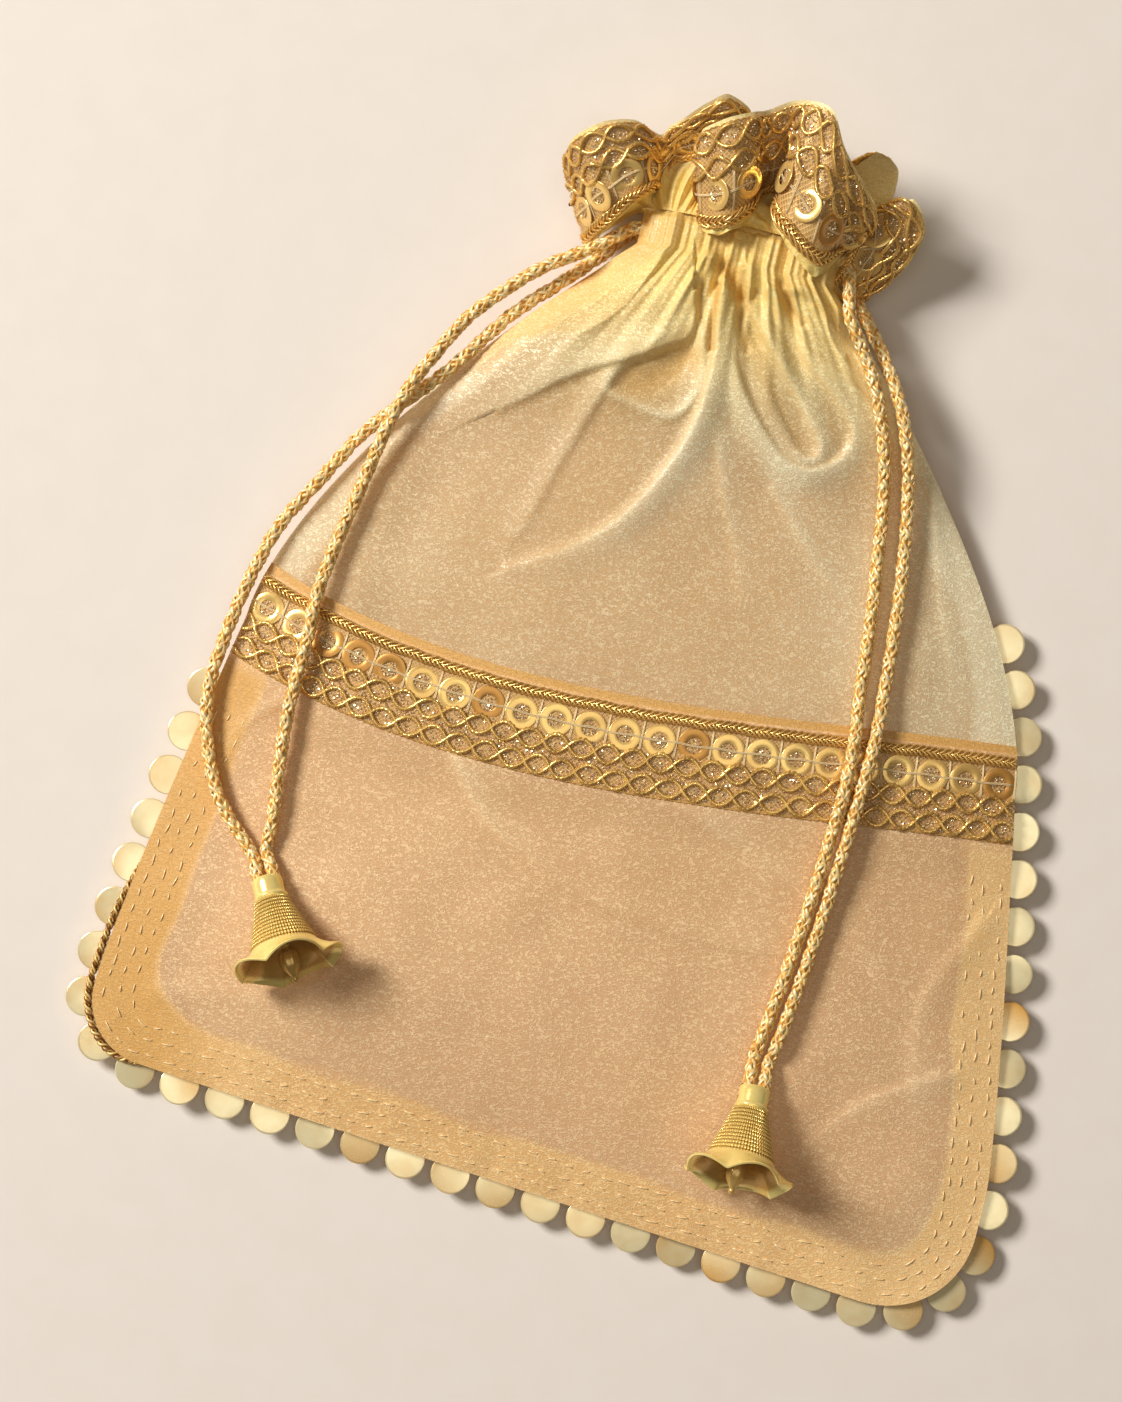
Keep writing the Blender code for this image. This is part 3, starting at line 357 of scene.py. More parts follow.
def grid_faces(rows, columns, around=False):
    """Quads of a grid stored row by row. around joins the last column to the first."""
    r, c = np.meshgrid(np.arange(rows - 1), np.arange(columns if around else columns - 1), indexing="ij")
    right = (c + 1) % columns
    quads = [r * columns + c, r * columns + right, (r + 1) * columns + right, (r + 1) * columns + c]
    return np.stack(quads, axis=-1).reshape(-1, 4)


def joined(shapes):
    """Several (points, faces) shapes as one: each shape's indices move past the points before it."""
    counts = np.cumsum([0] + [len(points) for points, _ in shapes])
    points = np.concatenate([points for points, _ in shapes])
    return points, np.concatenate([faces + start for (_, faces), start in zip(shapes, counts)])


def repeated(shape, faces, places, frames):
    """One small shape set down many times: each copy is the shape turned by its frame, moved to its place."""
    points = places[:, None, :] + np.einsum("kc,ncd->nkd", shape, frames)
    starts = np.arange(len(places))[:, None, None] * len(shape)
    return points.reshape(-1, 3), (faces[None] + starts).reshape(-1, faces.shape[1])


def add_piece(
    name, points, faces, finish, slot, body="bag", uv=None, shades=None, crease=None, weld=False, stands_for=()
):
    """A mesh object on a body: points in millimetres, faces by index, uv one pair for each point, shades a name
    and one number per point for each attribute. crease is the angle over which an edge is sharp."""
    points = np.asarray(points, float).reshape(-1, 3)
    corners = faces.ravel().astype(np.int32)
    mesh = bpy.data.meshes.new(name)
    mesh.vertices.add(len(points))
    mesh.vertices.foreach_set("co", (points * MM).astype(np.float32).ravel())
    mesh.loops.add(len(corners))
    mesh.loops.foreach_set("vertex_index", corners)
    mesh.polygons.add(len(faces))
    mesh.polygons.foreach_set("loop_start", np.arange(0, len(corners), faces.shape[1], dtype=np.int32))
    mesh.update(calc_edges=True)
    if uv is not None:
        layer = mesh.uv_layers.new(name="lay")
        layer.data.foreach_set("uv", np.asarray(uv, np.float32).reshape(-1, 2)[corners].ravel())
    for key, numbers in (shades or {}).items():
        attribute = mesh.attributes.new(key, "FLOAT", "POINT")
        attribute.data.foreach_set("value", np.broadcast_to(numbers, len(points)).astype(np.float32))
    if weld:
        form = bmesh.new()
        form.from_mesh(mesh)
        bmesh.ops.remove_doubles(form, verts=form.verts, dist=2e-6)
        form.to_mesh(mesh)
        form.free()
    if crease == 0:
        mesh.shade_flat()
    else:
        mesh.shade_smooth()
        if crease:
            mesh.set_sharp_from_angle(angle=math.radians(crease))
    mesh.materials.append(finish)
    piece = bpy.data.objects.new(name, mesh)
    bpy.context.scene.collection.objects.link(piece)
    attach(piece, body)
    if stands_for:
        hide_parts(*stands_for)
    return piece


def path_frame(path, reference):
    """Direction along a path, and the two directions across it: the second one leans towards the reference."""
    along = unit(np.gradient(path, axis=0))
    side = unit(np.cross(along, reference))
    return along, side, np.cross(side, along)


def tube(path, wide, high, sides, reference, capped=True):
    """A tube along a path with an oval section, this wide along the path's first cross direction and this high
    along the second: one number, or one for each side of each section. Capped ends close to a point."""
    _, side, up = path_frame(path, reference)
    turn = -TURN * np.arange(sides) / sides
    ring = (wide * np.cos(turn))[..., None] * side[:, None] + (high * np.sin(turn))[..., None] * up[:, None]
    points = path[:, None] + ring
    if capped:
        points = np.concatenate([path[:1, None] + 0 * ring[:1], points, path[-1:, None] + 0 * ring[:1]])
    return points.reshape(-1, 3), grid_faces(len(points), sides, around=True)


def tube_lay(along, sides):
    """uv of a tube: how far along it, and the share of a turn round it."""
    return np.stack(np.meshgrid(along, np.arange(sides) / sides, indexing="ij"), axis=-1).reshape(-1, 2)


def twisted_pair(path, radius, pitch, reference, sides=8):
    """A tube that reads as two wires twisted together: a section with two lobes that turns once for each pitch."""
    turn = -TURN * np.arange(sides)[None, :] / sides
    lobes = radius * (0.80 + 0.26 * np.cos(2 * (turn - TURN * run_along(path)[:, None] / pitch)))
    return tube(path, lobes, lobes, sides, reference, capped=False)


def curve_through(points, step):
    """Points about this far apart along a Catmull-Rom curve through the given ones."""
    points = np.asarray(points, float)
    p = np.concatenate([[2 * points[0] - points[1]], points, [2 * points[-1] - points[-2]]])
    t = np.linspace(0, 1, 24, endpoint=False)[None, :, None]
    dense = rounded(*(p[i : len(p) - 3 + i, None, :] for i in range(4)), t)
    dense = np.concatenate([dense.reshape(-1, points.shape[1]), points[-1:]])
    run = run_along(dense)
    return read_off(np.linspace(0, run[-1], max(2, round(run[-1] / step) + 1)), run, dense)


def round_loop(points, count):
    """This many points along a closed Catmull-Rom curve through the given ones, at even shares of its steps."""
    at = np.linspace(0, len(points), count, endpoint=False)
    first = np.floor(at).astype(int)
    return rounded(*(points[(first + k) % len(points)] for k in (-1, 0, 1, 2)), (at - first)[:, None])


# Shaders


class Flow:
    """What a socket carries. Sums and products of flows add their Math nodes."""

    def __init__(self, finish, socket):
        self.finish = finish
        self.socket = socket

    def work(self, operation, first, second=0.0):
        """A Math node with this operation."""
        return self.finish.add("Math", {"operation": operation}, {"Value": first, "Value_001": second})

    def __add__(self, other):
        return self.work("ADD", self, other)

    def __sub__(self, other):
        return self.work("SUBTRACT", self, other)

    def __rsub__(self, other):
        return self.work("SUBTRACT", other, self)

    def __mul__(self, other):
        return self.work("MULTIPLY", self, other)

    __radd__ = __add__
    __rmul__ = __mul__

    def sine(self):
        return self.work("SINE", self)

    def most(self, other):
        return self.work("MAXIMUM", self, other)

    def least(self, other):
        return self.work("MINIMUM", self, other)

    def step(self, low, high):
        """0 at low, 1 at high, and an S-curve between."""
        return self.finish.add(
            "MapRange", {"interpolation_type": "SMOOTHSTEP"}, {"Value": self, "From Min": low, "From Max": high}
        )


class Finish:
    """A material's node tree. add() makes any node from its type, its settings and what its sockets take."""

    def __init__(self, name):
        self.material = bpy.data.materials.new(name)
        self.material.use_nodes = True
        self.tree = self.material.node_tree
        self.tree.nodes.clear()

    def add(self, kind, settings=None, inputs=None, out=""):
        """A node of this kind. Gives the flow from its output of this name, or else from its first."""
        node = self.tree.nodes.new("ShaderNode" + kind)
        for key, value in (settings or {}).items():
            setattr(node, key, value)
        for key, value in (inputs or {}).items():
            socket = next(s for s in node.inputs if s.identifier == key)
            if isinstance(value, Flow):
                self.tree.links.new(value.socket, socket)
            else:
                socket.default_value = (*value, 1) if isinstance(value, tuple) and socket.type == "RGBA" else value
        shown = [socket for socket in node.outputs if socket.enabled]
        return Flow(self, next((socket for socket in shown if socket.name == out), *shown[:1])) if shown else None

    def place(self):
        """Object coordinates, in metres."""
        return self.add("TexCoord", out="Object")

    def lay(self, part):
        """X or Y of the piece's own UV map, in millimetres where the piece says so."""
        uv = self.add("UVMap", {"uv_map": "lay"})
        return self.add("SeparateXYZ", None, {"Vector": uv}, out=part)

    def shade(self, name):
        """One of the piece's attributes."""
        return self.add("Attribute", {"attribute_name": name}, out="Fac")

    def noise(self, scale, detail=2.0, where=None, **more):
        """Noise from 0 to 1, with scale as its number of lumps to a metre."""
        inputs = {"Vector": where or self.place(), "Scale": scale, "Detail": detail, **more}
        return self.add("TexNoise", None, inputs)

    def mix(self, share, first, second):
        """The first colour at share 0 and the second at share 1."""
        inputs = {"Factor_Float": share, "A_Color": first, "B_Color": second}
        return self.add("Mix", {"data_type": "RGBA"}, inputs, out="Result")

    def bump(self, height, distance, strength):
        """Normals of a relief: height times distance, in millimetres."""
        return self.add("Bump", None, {"Height": height, "Distance": distance * MM, "Strength": strength})

    def surface(self, **inputs):
        """The Principled shader, wired to the output. Names with _ stand for names with spaces."""
        shader = self.add("BsdfPrincipled", None, {key.replace("_", " "): v for key, v in inputs.items()})
        self.add("OutputMaterial", None, {"Surface": shader})
        return self.material


def colour(red, green, blue):
    """Linear colour of an sRGB value from 0 to 255."""
    share = np.array([red, green, blue]) / 255
    return tuple(float(c) for c in np.where(share <= 0.04045, share / 12.92, ((share + 0.055) / 1.055) ** 2.4))


def organza(name, plain, bright, warm, cover, rough=0.5):
    """Sheer organza: a crepe of fine winding lines, drawn where a stretched noise passes its middle value, with slow
    drifts, stray fibres and small sparkles, which are painted glints. Its cover grows where the cloth is gathered, as
    the attribute of gather and painted light gives, and there it takes the bright colour, partly as painted light. The
    attribute warm gives doubled cloth, and the attribute of hollows gives painted shade, in amber, in the hollows
    between folds and below their edges. Towards the neck the cloth turns golden."""
    f = Finish(name)
    gather_and_light, hollow_and_shade, doubled = f.shade("gather_and_light"), f.shade("hollow_and_shade"), f.shade("warm")
    up_bag = f.add("SeparateXYZ", None, {"Vector": f.place()}, out="Y")
    golden = up_bag.step(0.072, 0.126) * (1.0 - up_bag.step(0.140, 0.152) * 0.55)
    level = f.add("Mapping", None, {"Vector": f.place(), "Scale": (680.0, 1300.0, 900.0)})
    crepe = f.noise(1.0, 1.0, level, Distortion=0.7) - 0.5
    lines = 1.0 - (crepe * crepe).step(0.0006, 0.0055)
    drift = f.noise(24.0, 3.0)
    fibres = f.noise(240.0, 0.0).step(0.50, 0.505) * (1.0 - f.noise(240.0, 0.0).step(0.505, 0.51))
    fibres = fibres * f.noise(90.0, 1.0).step(0.55, 0.62)
    painted_glint = f.noise(2500.0, 0.0).step(0.68, 0.76)
    light = tuple(min(1.0, c * 1.08 + 0.06) for c in bright)
    dim = tuple(c * k for c, k in zip(plain, (0.80, 0.74, 0.64)))
    tone = f.mix(gather_and_light.step(0.0, 0.75), plain, bright)
    tone = f.mix(golden * 0.86, tone, colour(255, 218, 100))
    tone = f.mix(doubled * 0.85, tone, warm)
    tone = f.mix((1.0 - lines) * (0.30 - gather_and_light * 0.10), tone, dim)
    tone = f.mix(lines * 0.22, tone, light)
    # Painted glints, which are the sparkles, and pale stray fibres.
    tone = f.mix((painted_glint * 0.5 + fibres * 0.5).least(0.8), tone, light)
    # Painted shade from the attribute of hollows and shade, towards a darker amber.
    tone = f.mix(hollow_and_shade * 0.80, tone, colour(206, 150, 56))
    sheer = cover + (lines - 0.5) * 0.16 + (drift - 0.5) * 0.10 + painted_glint * 0.15 + fibres * 0.2
    alpha = (sheer + gather_and_light * (0.98 - cover) + doubled * 0.20 + hollow_and_shade * 0.40 + golden * 0.12).least(0.985)
    return f.surface(
        Base_Color=tone, Roughness=rough - lines * 0.14, Alpha=alpha, Normal=f.bump(lines * 0.7 + drift, 0.12, 0.8),
    )


def metal(name, base, dark, rough, grain=900.0, depth=0.02, shiny=1.0):
    """Gold metal: fine grain in its gloss and relief, and darker clouds over it. Each separate piece on it may be
    lighter or darker, which the attribute shine gives. shiny is below 1 for metallised plastic."""
    f = Finish(name)
    cloud, fleck, shine = f.noise(140.0, 4.0), f.noise(grain, 3.0), f.shade("shine")
    tone = f.mix(cloud.step(0.35, 0.75) * 0.35, base, dark)
    tone = f.mix((1.0 - shine).most(0.0), tone, dark)
    return f.surface(
        Base_Color=tone, Metallic=shiny, Roughness=rough + (fleck - 0.5) * 0.16 + (1.0 - shine) * 0.12,
        Normal=f.bump(fleck, depth, 0.5),
    )


def metallic_yarn(name, base, light, dark, fibres, slant):
    """Metallised yarn: fibres that wind along it, from the UV map's millimetres, with a painted highlight on them
    and painted shade between them.
    """
    f = Finish(name)
    along, around = f.lay("X"), f.lay("Y")
    wound = ((around * fibres + along * slant) * TURN).sine()
    cloud = f.noise(420.0, 2.0)
    # Painted shade between the fibres, then a painted highlight on their crowns.
    tone = f.mix(wound.step(-0.9, 0.3), dark, base)
    tone = f.mix((wound + cloud - 0.5).step(0.35, 1.1) * 0.8, tone, light)
    return f.surface(
        Base_Color=tone, Metallic=0.22, Roughness=0.28 + cloud * 0.2,
        Normal=f.bump(wound, 0.05, 0.7),
    )


# Cloth that lies under the cords and bells


def pressed(points, weights):
    """The cloth's points kept below what lies on it: under each ball (x, y, z, radius) the height stays under the
    ball, and beside it the height may rise again at a slope of about one in one."""
    return np.maximum(held_under(points.reshape(-1, 3), weights), (-np.inf, -np.inf, 0.5))


def laid_over(points, weights):
    """The cloth's points kept above these balls, as pressed keeps them below."""
    return held_under(points.reshape(-1, 3) * (1, 1, -1), weights * (1, 1, -1, 1)) * (1, 1, -1)


def held_under(points, weights):
    """The points with their height cut down to the least that any ball within reach allows: the ball's underside less
    a gap, and past most of its radius that height plus a slope. It goes through the points in parts, which takes
    less memory."""
    done, reach, gap, slope = [], 12, 0.25, 0.9
    for part in np.array_split(points, max(1, len(points) // 3000)):
        low = (part.min(axis=0) - reach)[:2]
        high = (part.max(axis=0) + reach)[:2]
        near = weights[((weights[:, :2] > low) & (weights[:, :2] < high)).all(axis=1)]
        if not len(near):
            done.append(part)
            continue
        away = np.linalg.norm(part[:, None, :2] - near[None, :, :2], axis=2)
        radius = near[None, :, 3]
        under = near[None, :, 2] - np.sqrt(np.maximum(radius**2 - np.minimum(away, radius) ** 2, 0)) - gap
        limit = (under + np.maximum(away - radius * 0.85, 0) * slope).min(axis=1)
        done.append(np.stack([part[:, 0], part[:, 1], np.minimum(part[:, 2], limit)], axis=1))
    return np.concatenate(done)


def grid_slope(grid):
    """1 / cosine of the angle between the cloth and the level, less 1, at each point of the grid."""
    normal = unit(np.cross(np.gradient(grid, axis=1), np.gradient(grid, axis=0)))
    return 1 / np.maximum(np.abs(normal[..., 2]), 0.12) - 1


def gathers(u, y):
    """Fine pleats that run to the neck: waves of u, of which the finer ones fade sooner down the bag."""
    near = smooth((y - 70) / (NECK_Y - 70))
    wave = 0.9 * near**1.5 * np.cos(19 * u + 0.6) + 0.7 * near**2 * np.cos(31 * u + 2.1)
    wave += 0.5 * near**2.6 * np.cos(53 * u + 4.0) + 0.35 * near**3.5 * np.cos(83 * u + 1.0)
    return wave


def nearest(x, y, line, far):
    """Which places lie within this distance of the line's box and, for those, the distance to the line, which is
    positive on its left as it runs, and the share of its length at the nearest point."""
    path = curve_through(line, 1.0)
    low, high = path.min(axis=0) - far, path.max(axis=0) + far
    near = (x > low[0]) & (x < high[0]) & (y > low[1]) & (y < high[1])
    places = np.stack([x[near], y[near]], axis=1).astype(np.float32)
    index = np.zeros(len(places), int)
    for part in np.array_split(np.arange(len(places)), max(1, len(places) // 4000)):
        away = ((places[part, None] - path[None].astype(np.float32)) ** 2).sum(axis=2)
        index[part] = away.argmin(axis=1)
    along = unit(np.gradient(path, axis=0))[index]
    off = places - path[index]
    side = along[:, 0] * off[:, 1] - along[:, 1] * off[:, 0]
    return near, np.linalg.norm(off, axis=1) * np.where(side > 0, 1.0, -1.0), index / (len(path) - 1)


def folds(x, y, lines):
    """Height, gathering and painted shade of the cloth along the folds' edges: beside each edge the height and the
    gathering fall off as a bell curve of the distance, at its own rate on each side, and a narrow rim on the edge is a
    painted highlight. The cloth just below a steep side gets a painted shadow."""
    lift, gather_and_light, shade = np.zeros_like(x), np.zeros_like(x), np.zeros_like(x)
    for line, left, right, start, end, high in lines:
        near, away, share = nearest(x, y, line, 2.6 * max(left, right, 1.5))
        reach = np.where(away > 0, left, right)
        bell = np.exp(-((away / (reach * 1.2)) ** 2))
        hump = np.exp(-((away / np.maximum(reach, 1.5)) ** 2)) * 0.72 * high * blend(1.0, 0.35, share)
        # Painted highlight: a narrow bright line along the fold's edge.
        rim = np.exp(-((away / 0.55) ** 2)) * 0.35
        lift[near] = np.maximum(lift[near], hump) + 0.3 * np.minimum(lift[near], hump)
        gather_and_light[near] += (1 - gather_and_light[near]) * blend(start, end, share) * np.minimum(bell * 0.95 + rim, 1)
        # Painted shadow on the cloth just below a steep side of the fold.
        under = np.exp(-(((np.abs(away) - 1.2) / 0.7) ** 2)) * (reach < 1.25) * blend(start, end, share)
        shade[near] = np.maximum(shade[near], 0.55 * under)
    return lift, gather_and_light, shade


def hollows(x, y):
    """How far the cloth sinks between the folds, from 0 to 1, which also sets the painted shade there."""
    hollow_and_shade = np.zeros_like(x)
    for line, reach, depth in HOLLOWS:
        near, away, _ = nearest(x, y, line, 2.6 * reach)
        hollow_and_shade[near] = np.maximum(hollow_and_shade[near], depth * np.exp(-((away / reach) ** 2)))
    return hollow_and_shade


def ripples(x, y):
    """Slow swells of loose cloth: two broad diagonal waves and a mottled one."""
    wave = np.sin((x * 0.62 + y * 0.9) / 17 + 0.8) * 0.35 + np.sin((x * 0.9 - y * 0.5) / 23 + 2.0) * 0.35
    return wave + 0.9 * mottle(x + 200, y + 200, 34.0, 3) + 0.3 * mottle(x + 200, y + 200, 13.0, 5)


def strand_path(side, upper):
    """The free strand's middle line: out through the slot, along its route, and into the collar of its bell."""
    sign = -1.0 if side == "left" else 1.0
    tilt = 1.0 if upper else -1.0
    off_x, off_z = CHANNEL_RADIUS * math.sin(SLOT_LEAN), CHANNEL_RADIUS * math.cos(SLOT_LEAN)
    start = np.array([sign * (NECK_FLAT + off_x), CORD_Y[side], NECK_Z + tilt * off_z])
    leave = np.array([sign * math.cos(SLOT_LEAN), 0, -tilt * math.sin(SLOT_LEAN)])
    route = {"left": (LEFT_UNDER, LEFT_OVER), "right": (RIGHT_OUTER, RIGHT_INNER)}[side][upper]
    top, axis, level = (np.array(v) for v in BELLS[side])
    aside = (CORD / 2 + 0.15) * (1 if (side == "left") == upper else -1)
    ends = [top + level * aside - axis * back for back in (8.0, 4.0, 0.3)]
    return curve_through([start + leave * 5.25, start + leave * 10.5, *route, *ends], CORD_STEP)


def loop_path(side):
    """The cord's middle line inside the casing: in through one slot, round the far end and back out below."""
    sign = -1.0 if side == "left" else 1.0
    arcs = np.linspace(75, 90, 6), np.linspace(90, 270, 60)[1:], np.linspace(270, 285, 6)[1:]
    turn = np.radians(np.concatenate(arcs))
    x = sign * (np.where(np.cos(turn) > 0.001, 1.0, -1.0) * NECK_FLAT + CHANNEL_RADIUS * np.cos(turn))
    loop = np.stack([x, np.full(len(turn), CORD_Y[side]), NECK_Z + CHANNEL_RADIUS * np.sin(turn)], axis=1)
    out = [np.array([sign * math.cos(SLOT_LEAN), 0, -tilt * math.sin(SLOT_LEAN)]) * 6.0 for tilt in (1.0, -1.0)]
    return curve_through(np.concatenate([[loop[0] + out[0]], loop, [loop[-1] + out[1]]]), CORD_STEP)


def bell_frame(side):
    """The middle of a bell's collar, and the rows that turn its own x, y and z into the frame's: level, up across
    the axis, and the axis."""
    top, axis, level = (np.array(v) for v in BELLS[side])
    return top, np.stack([level, np.cross(axis, level), axis])


PATHS = {(side, upper): strand_path(side, upper) for side in ("left", "right") for upper in (True, False)}


def bell_skin(rows, columns=150):
    """Rings of a bell from (radius, along, wave) rows. A petal is a smooth arch drawn out and curled back, and two
    petals meet in a point that reaches forward: 2 |cos(5/2 turn)| - 1."""
    turn = round_circle(columns)[None, :]
    radius, along, wave = (np.array(rows)[:, i, None] for i in range(3))
    petal = wave * (2 * np.sqrt(np.cos(2.5 * turn) ** 2 + 0.004) - 1)
    reach = radius * (1 + 0.07 * petal)
    return np.stack([reach * np.cos(turn), reach * np.sin(turn), along - 1.25 * petal + 0 * turn], axis=-1)


def bell_rows():
    """(radius, along, wave) down the outside of the bell, round its rolled rim, and up the smooth inside. The ringed
    cone widens as a power of the way down, with a ridge on it for each ring: a rectified sine."""
    collar, mouth = BELL_COLLAR / 2, BELL_MOUTH / 2
    rows = [(0.2, 0.25, 0), (collar - 0.7, 0.25, 0), (collar - 0.55, 0.05, 0), (collar - 0.15, 0.0, 0)]
    rows += [(collar, along, 0) for along in (0.3, 1.5, 2.8, 4.0, 4.4)]
    rows += [(collar + 0.35, 4.75, 0), (collar + 0.45, 5.1, 0), (collar + 0.2, 5.45, 0)]
    share = np.linspace(0, 1, CONE_RINGS * RING_ROWS + 1)[1:]
    ridge = 0.42 * np.abs(np.sin(CONE_RINGS * math.pi * share)) ** 0.7
    radius = blend(collar + 0.15, mouth * 0.62, share**1.15) + ridge
    rows += list(zip(radius, blend(5.5, BELL_LENGTH * 0.78, share), 0 * share))
    rows += [(mouth * r, BELL_LENGTH * a, w) for r, a, w in FLARE]
    rows += [(mouth + 0.18, BELL_LENGTH + 0.30, 1.0), (mouth - 0.10, BELL_LENGTH + 0.62, 1.0)]
    rows += [(mouth - 0.42, BELL_LENGTH + 0.52, 1.0), (mouth - 0.58, BELL_LENGTH + 0.2, 0.98)]
    rows += [(mouth * r - BELL_WALL, BELL_LENGTH * a + 0.2, w) for r, a, w in FLARE_INSIDE]
    rows += [(mouth * 0.48 - BELL_WALL, BELL_LENGTH * 0.55, 0), (collar - 0.4, BELL_LENGTH * 0.26, 0)]
    return rows + [(collar - BELL_WALL, 0.95, 0), (0.2, 0.8, 0)]


def all_weights():
    """Balls (x, y, z, radius) that press on the front cloth: the cords' middle lines and the bells' skins."""
    skins = [balls(PATHS.values())]
    for side in BELLS:
        top, turn = bell_frame(side)
        skin = bell_skin(bell_rows()[3:-9:2], 60).reshape(-1, 3) @ turn + top
        low = skin[skin[:, 2] < top[2] + 1]
        skins.append(np.column_stack([low, np.full(len(low), 0.3)]))
    return np.concatenate(skins)


def balls(paths):
    """Balls (x, y, z, radius) along cords with these middle lines."""
    line = np.concatenate([path[::3] for path in paths])
    return np.column_stack([line, np.full(len(line), CORD / 2)])


# What lies on the front cloth: all of it, the part clear of the neck, and the cords in and at the neck's channel
WEIGHTS = all_weights()
ON_CLOTH = (np.abs(WEIGHTS[:, 0]) > 36) | (WEIGHTS[:, 1] < 116.5)
IN_NECK = (np.abs(WEIGHTS[:, 0]) < 25.5) & (WEIGHTS[:, 1] > 118)
NECK_CORDS = np.concatenate([WEIGHTS[IN_NECK], balls([loop_path(side) for side in CORD_Y])])


def panel_grid(low, high, rows, columns):
    """u, x and y of a panel between two lines across the bag, finer towards both seams."""
    u = np.sin(np.linspace(-math.pi / 2, math.pi / 2, columns))
    y = blend(low(u)[None, :], high(u)[None, :], np.linspace(0, 1, rows)[:, None])
    return np.broadcast_to(u, y.shape), u * half_width(y), y


def lower_height(u, y):
    """Height of the lower front panel: the CAD panel's, with slow swells that fade out at its sewn edges, and fine
    puckers by the bottom one."""
    x = u * half_width(y)
    up_in = y - bottom_edge(u)
    loose = smooth((1 - np.abs(u)) / 0.22) * smooth(up_in / 26) * smooth((band_edge(u) + 6 - y) / 22)
    pucker = 0.16 * np.sin(x / 3.1 + 2 * mottle(x + 300, y + 300, 9.0, 8)) * smooth(1 - np.abs(up_in) / 16)
    return front_height(u, y) + hem_step(u, y) + 1.3 * loose * ripples(x, y) + pucker


def upper_height(u, y):
    """Height of the upper front panel without its folds: the CAD panel's, with swells and the pleats of the neck. It
    stands higher over the cords in the channel, and comes down under the frill past them."""
    x = u * half_width(y)
    loose = smooth((1 - np.abs(u)) / 0.25) * smooth((y - band_edge(u) - 24) / 26)
    over_cords = smooth((y - 115) / 9)
    pleats = gathers(u, y) * smooth((1 - np.abs(u)) / 0.12) * (1 - 0.45 * over_cords)
    pleats = pleats + (1.7 - 3.2 * smooth((y - 131.0) / 2.3)) * over_cords
    return front_height(u, y) + loose * 1.2 * ripples(x + 31, y - 57) + pleats


def add_cloth(name, u, y, z, finish, slot, gather_and_light, hollow_and_shade=0.0, warm=0.0, press=True, **more):
    """A single layer of cloth over the (u, y) grid at height z. If pressed, it lies under the cords and bells, and
    over the cords where they leave the neck."""
    grid = cloth_points(u, y, z)
    points = laid_over(pressed(grid, WEIGHTS[ON_CLOTH]), NECK_CORDS) if press else grid.reshape(-1, 3)
    shades = {
        "gather_and_light": np.clip(gather_and_light + 0.45 * grid_slope(points.reshape(grid.shape)), 0, 1).ravel(),
        "hollow_and_shade": np.clip(hollow_and_shade + 0 * u, 0, 1).ravel(), "warm": np.clip(warm + 0 * u, 0, 1).ravel(),
    }
    return add_piece(name, points, grid_faces(*u.shape), finish, slot, uv=grid[..., :2], shades=shades, **more)


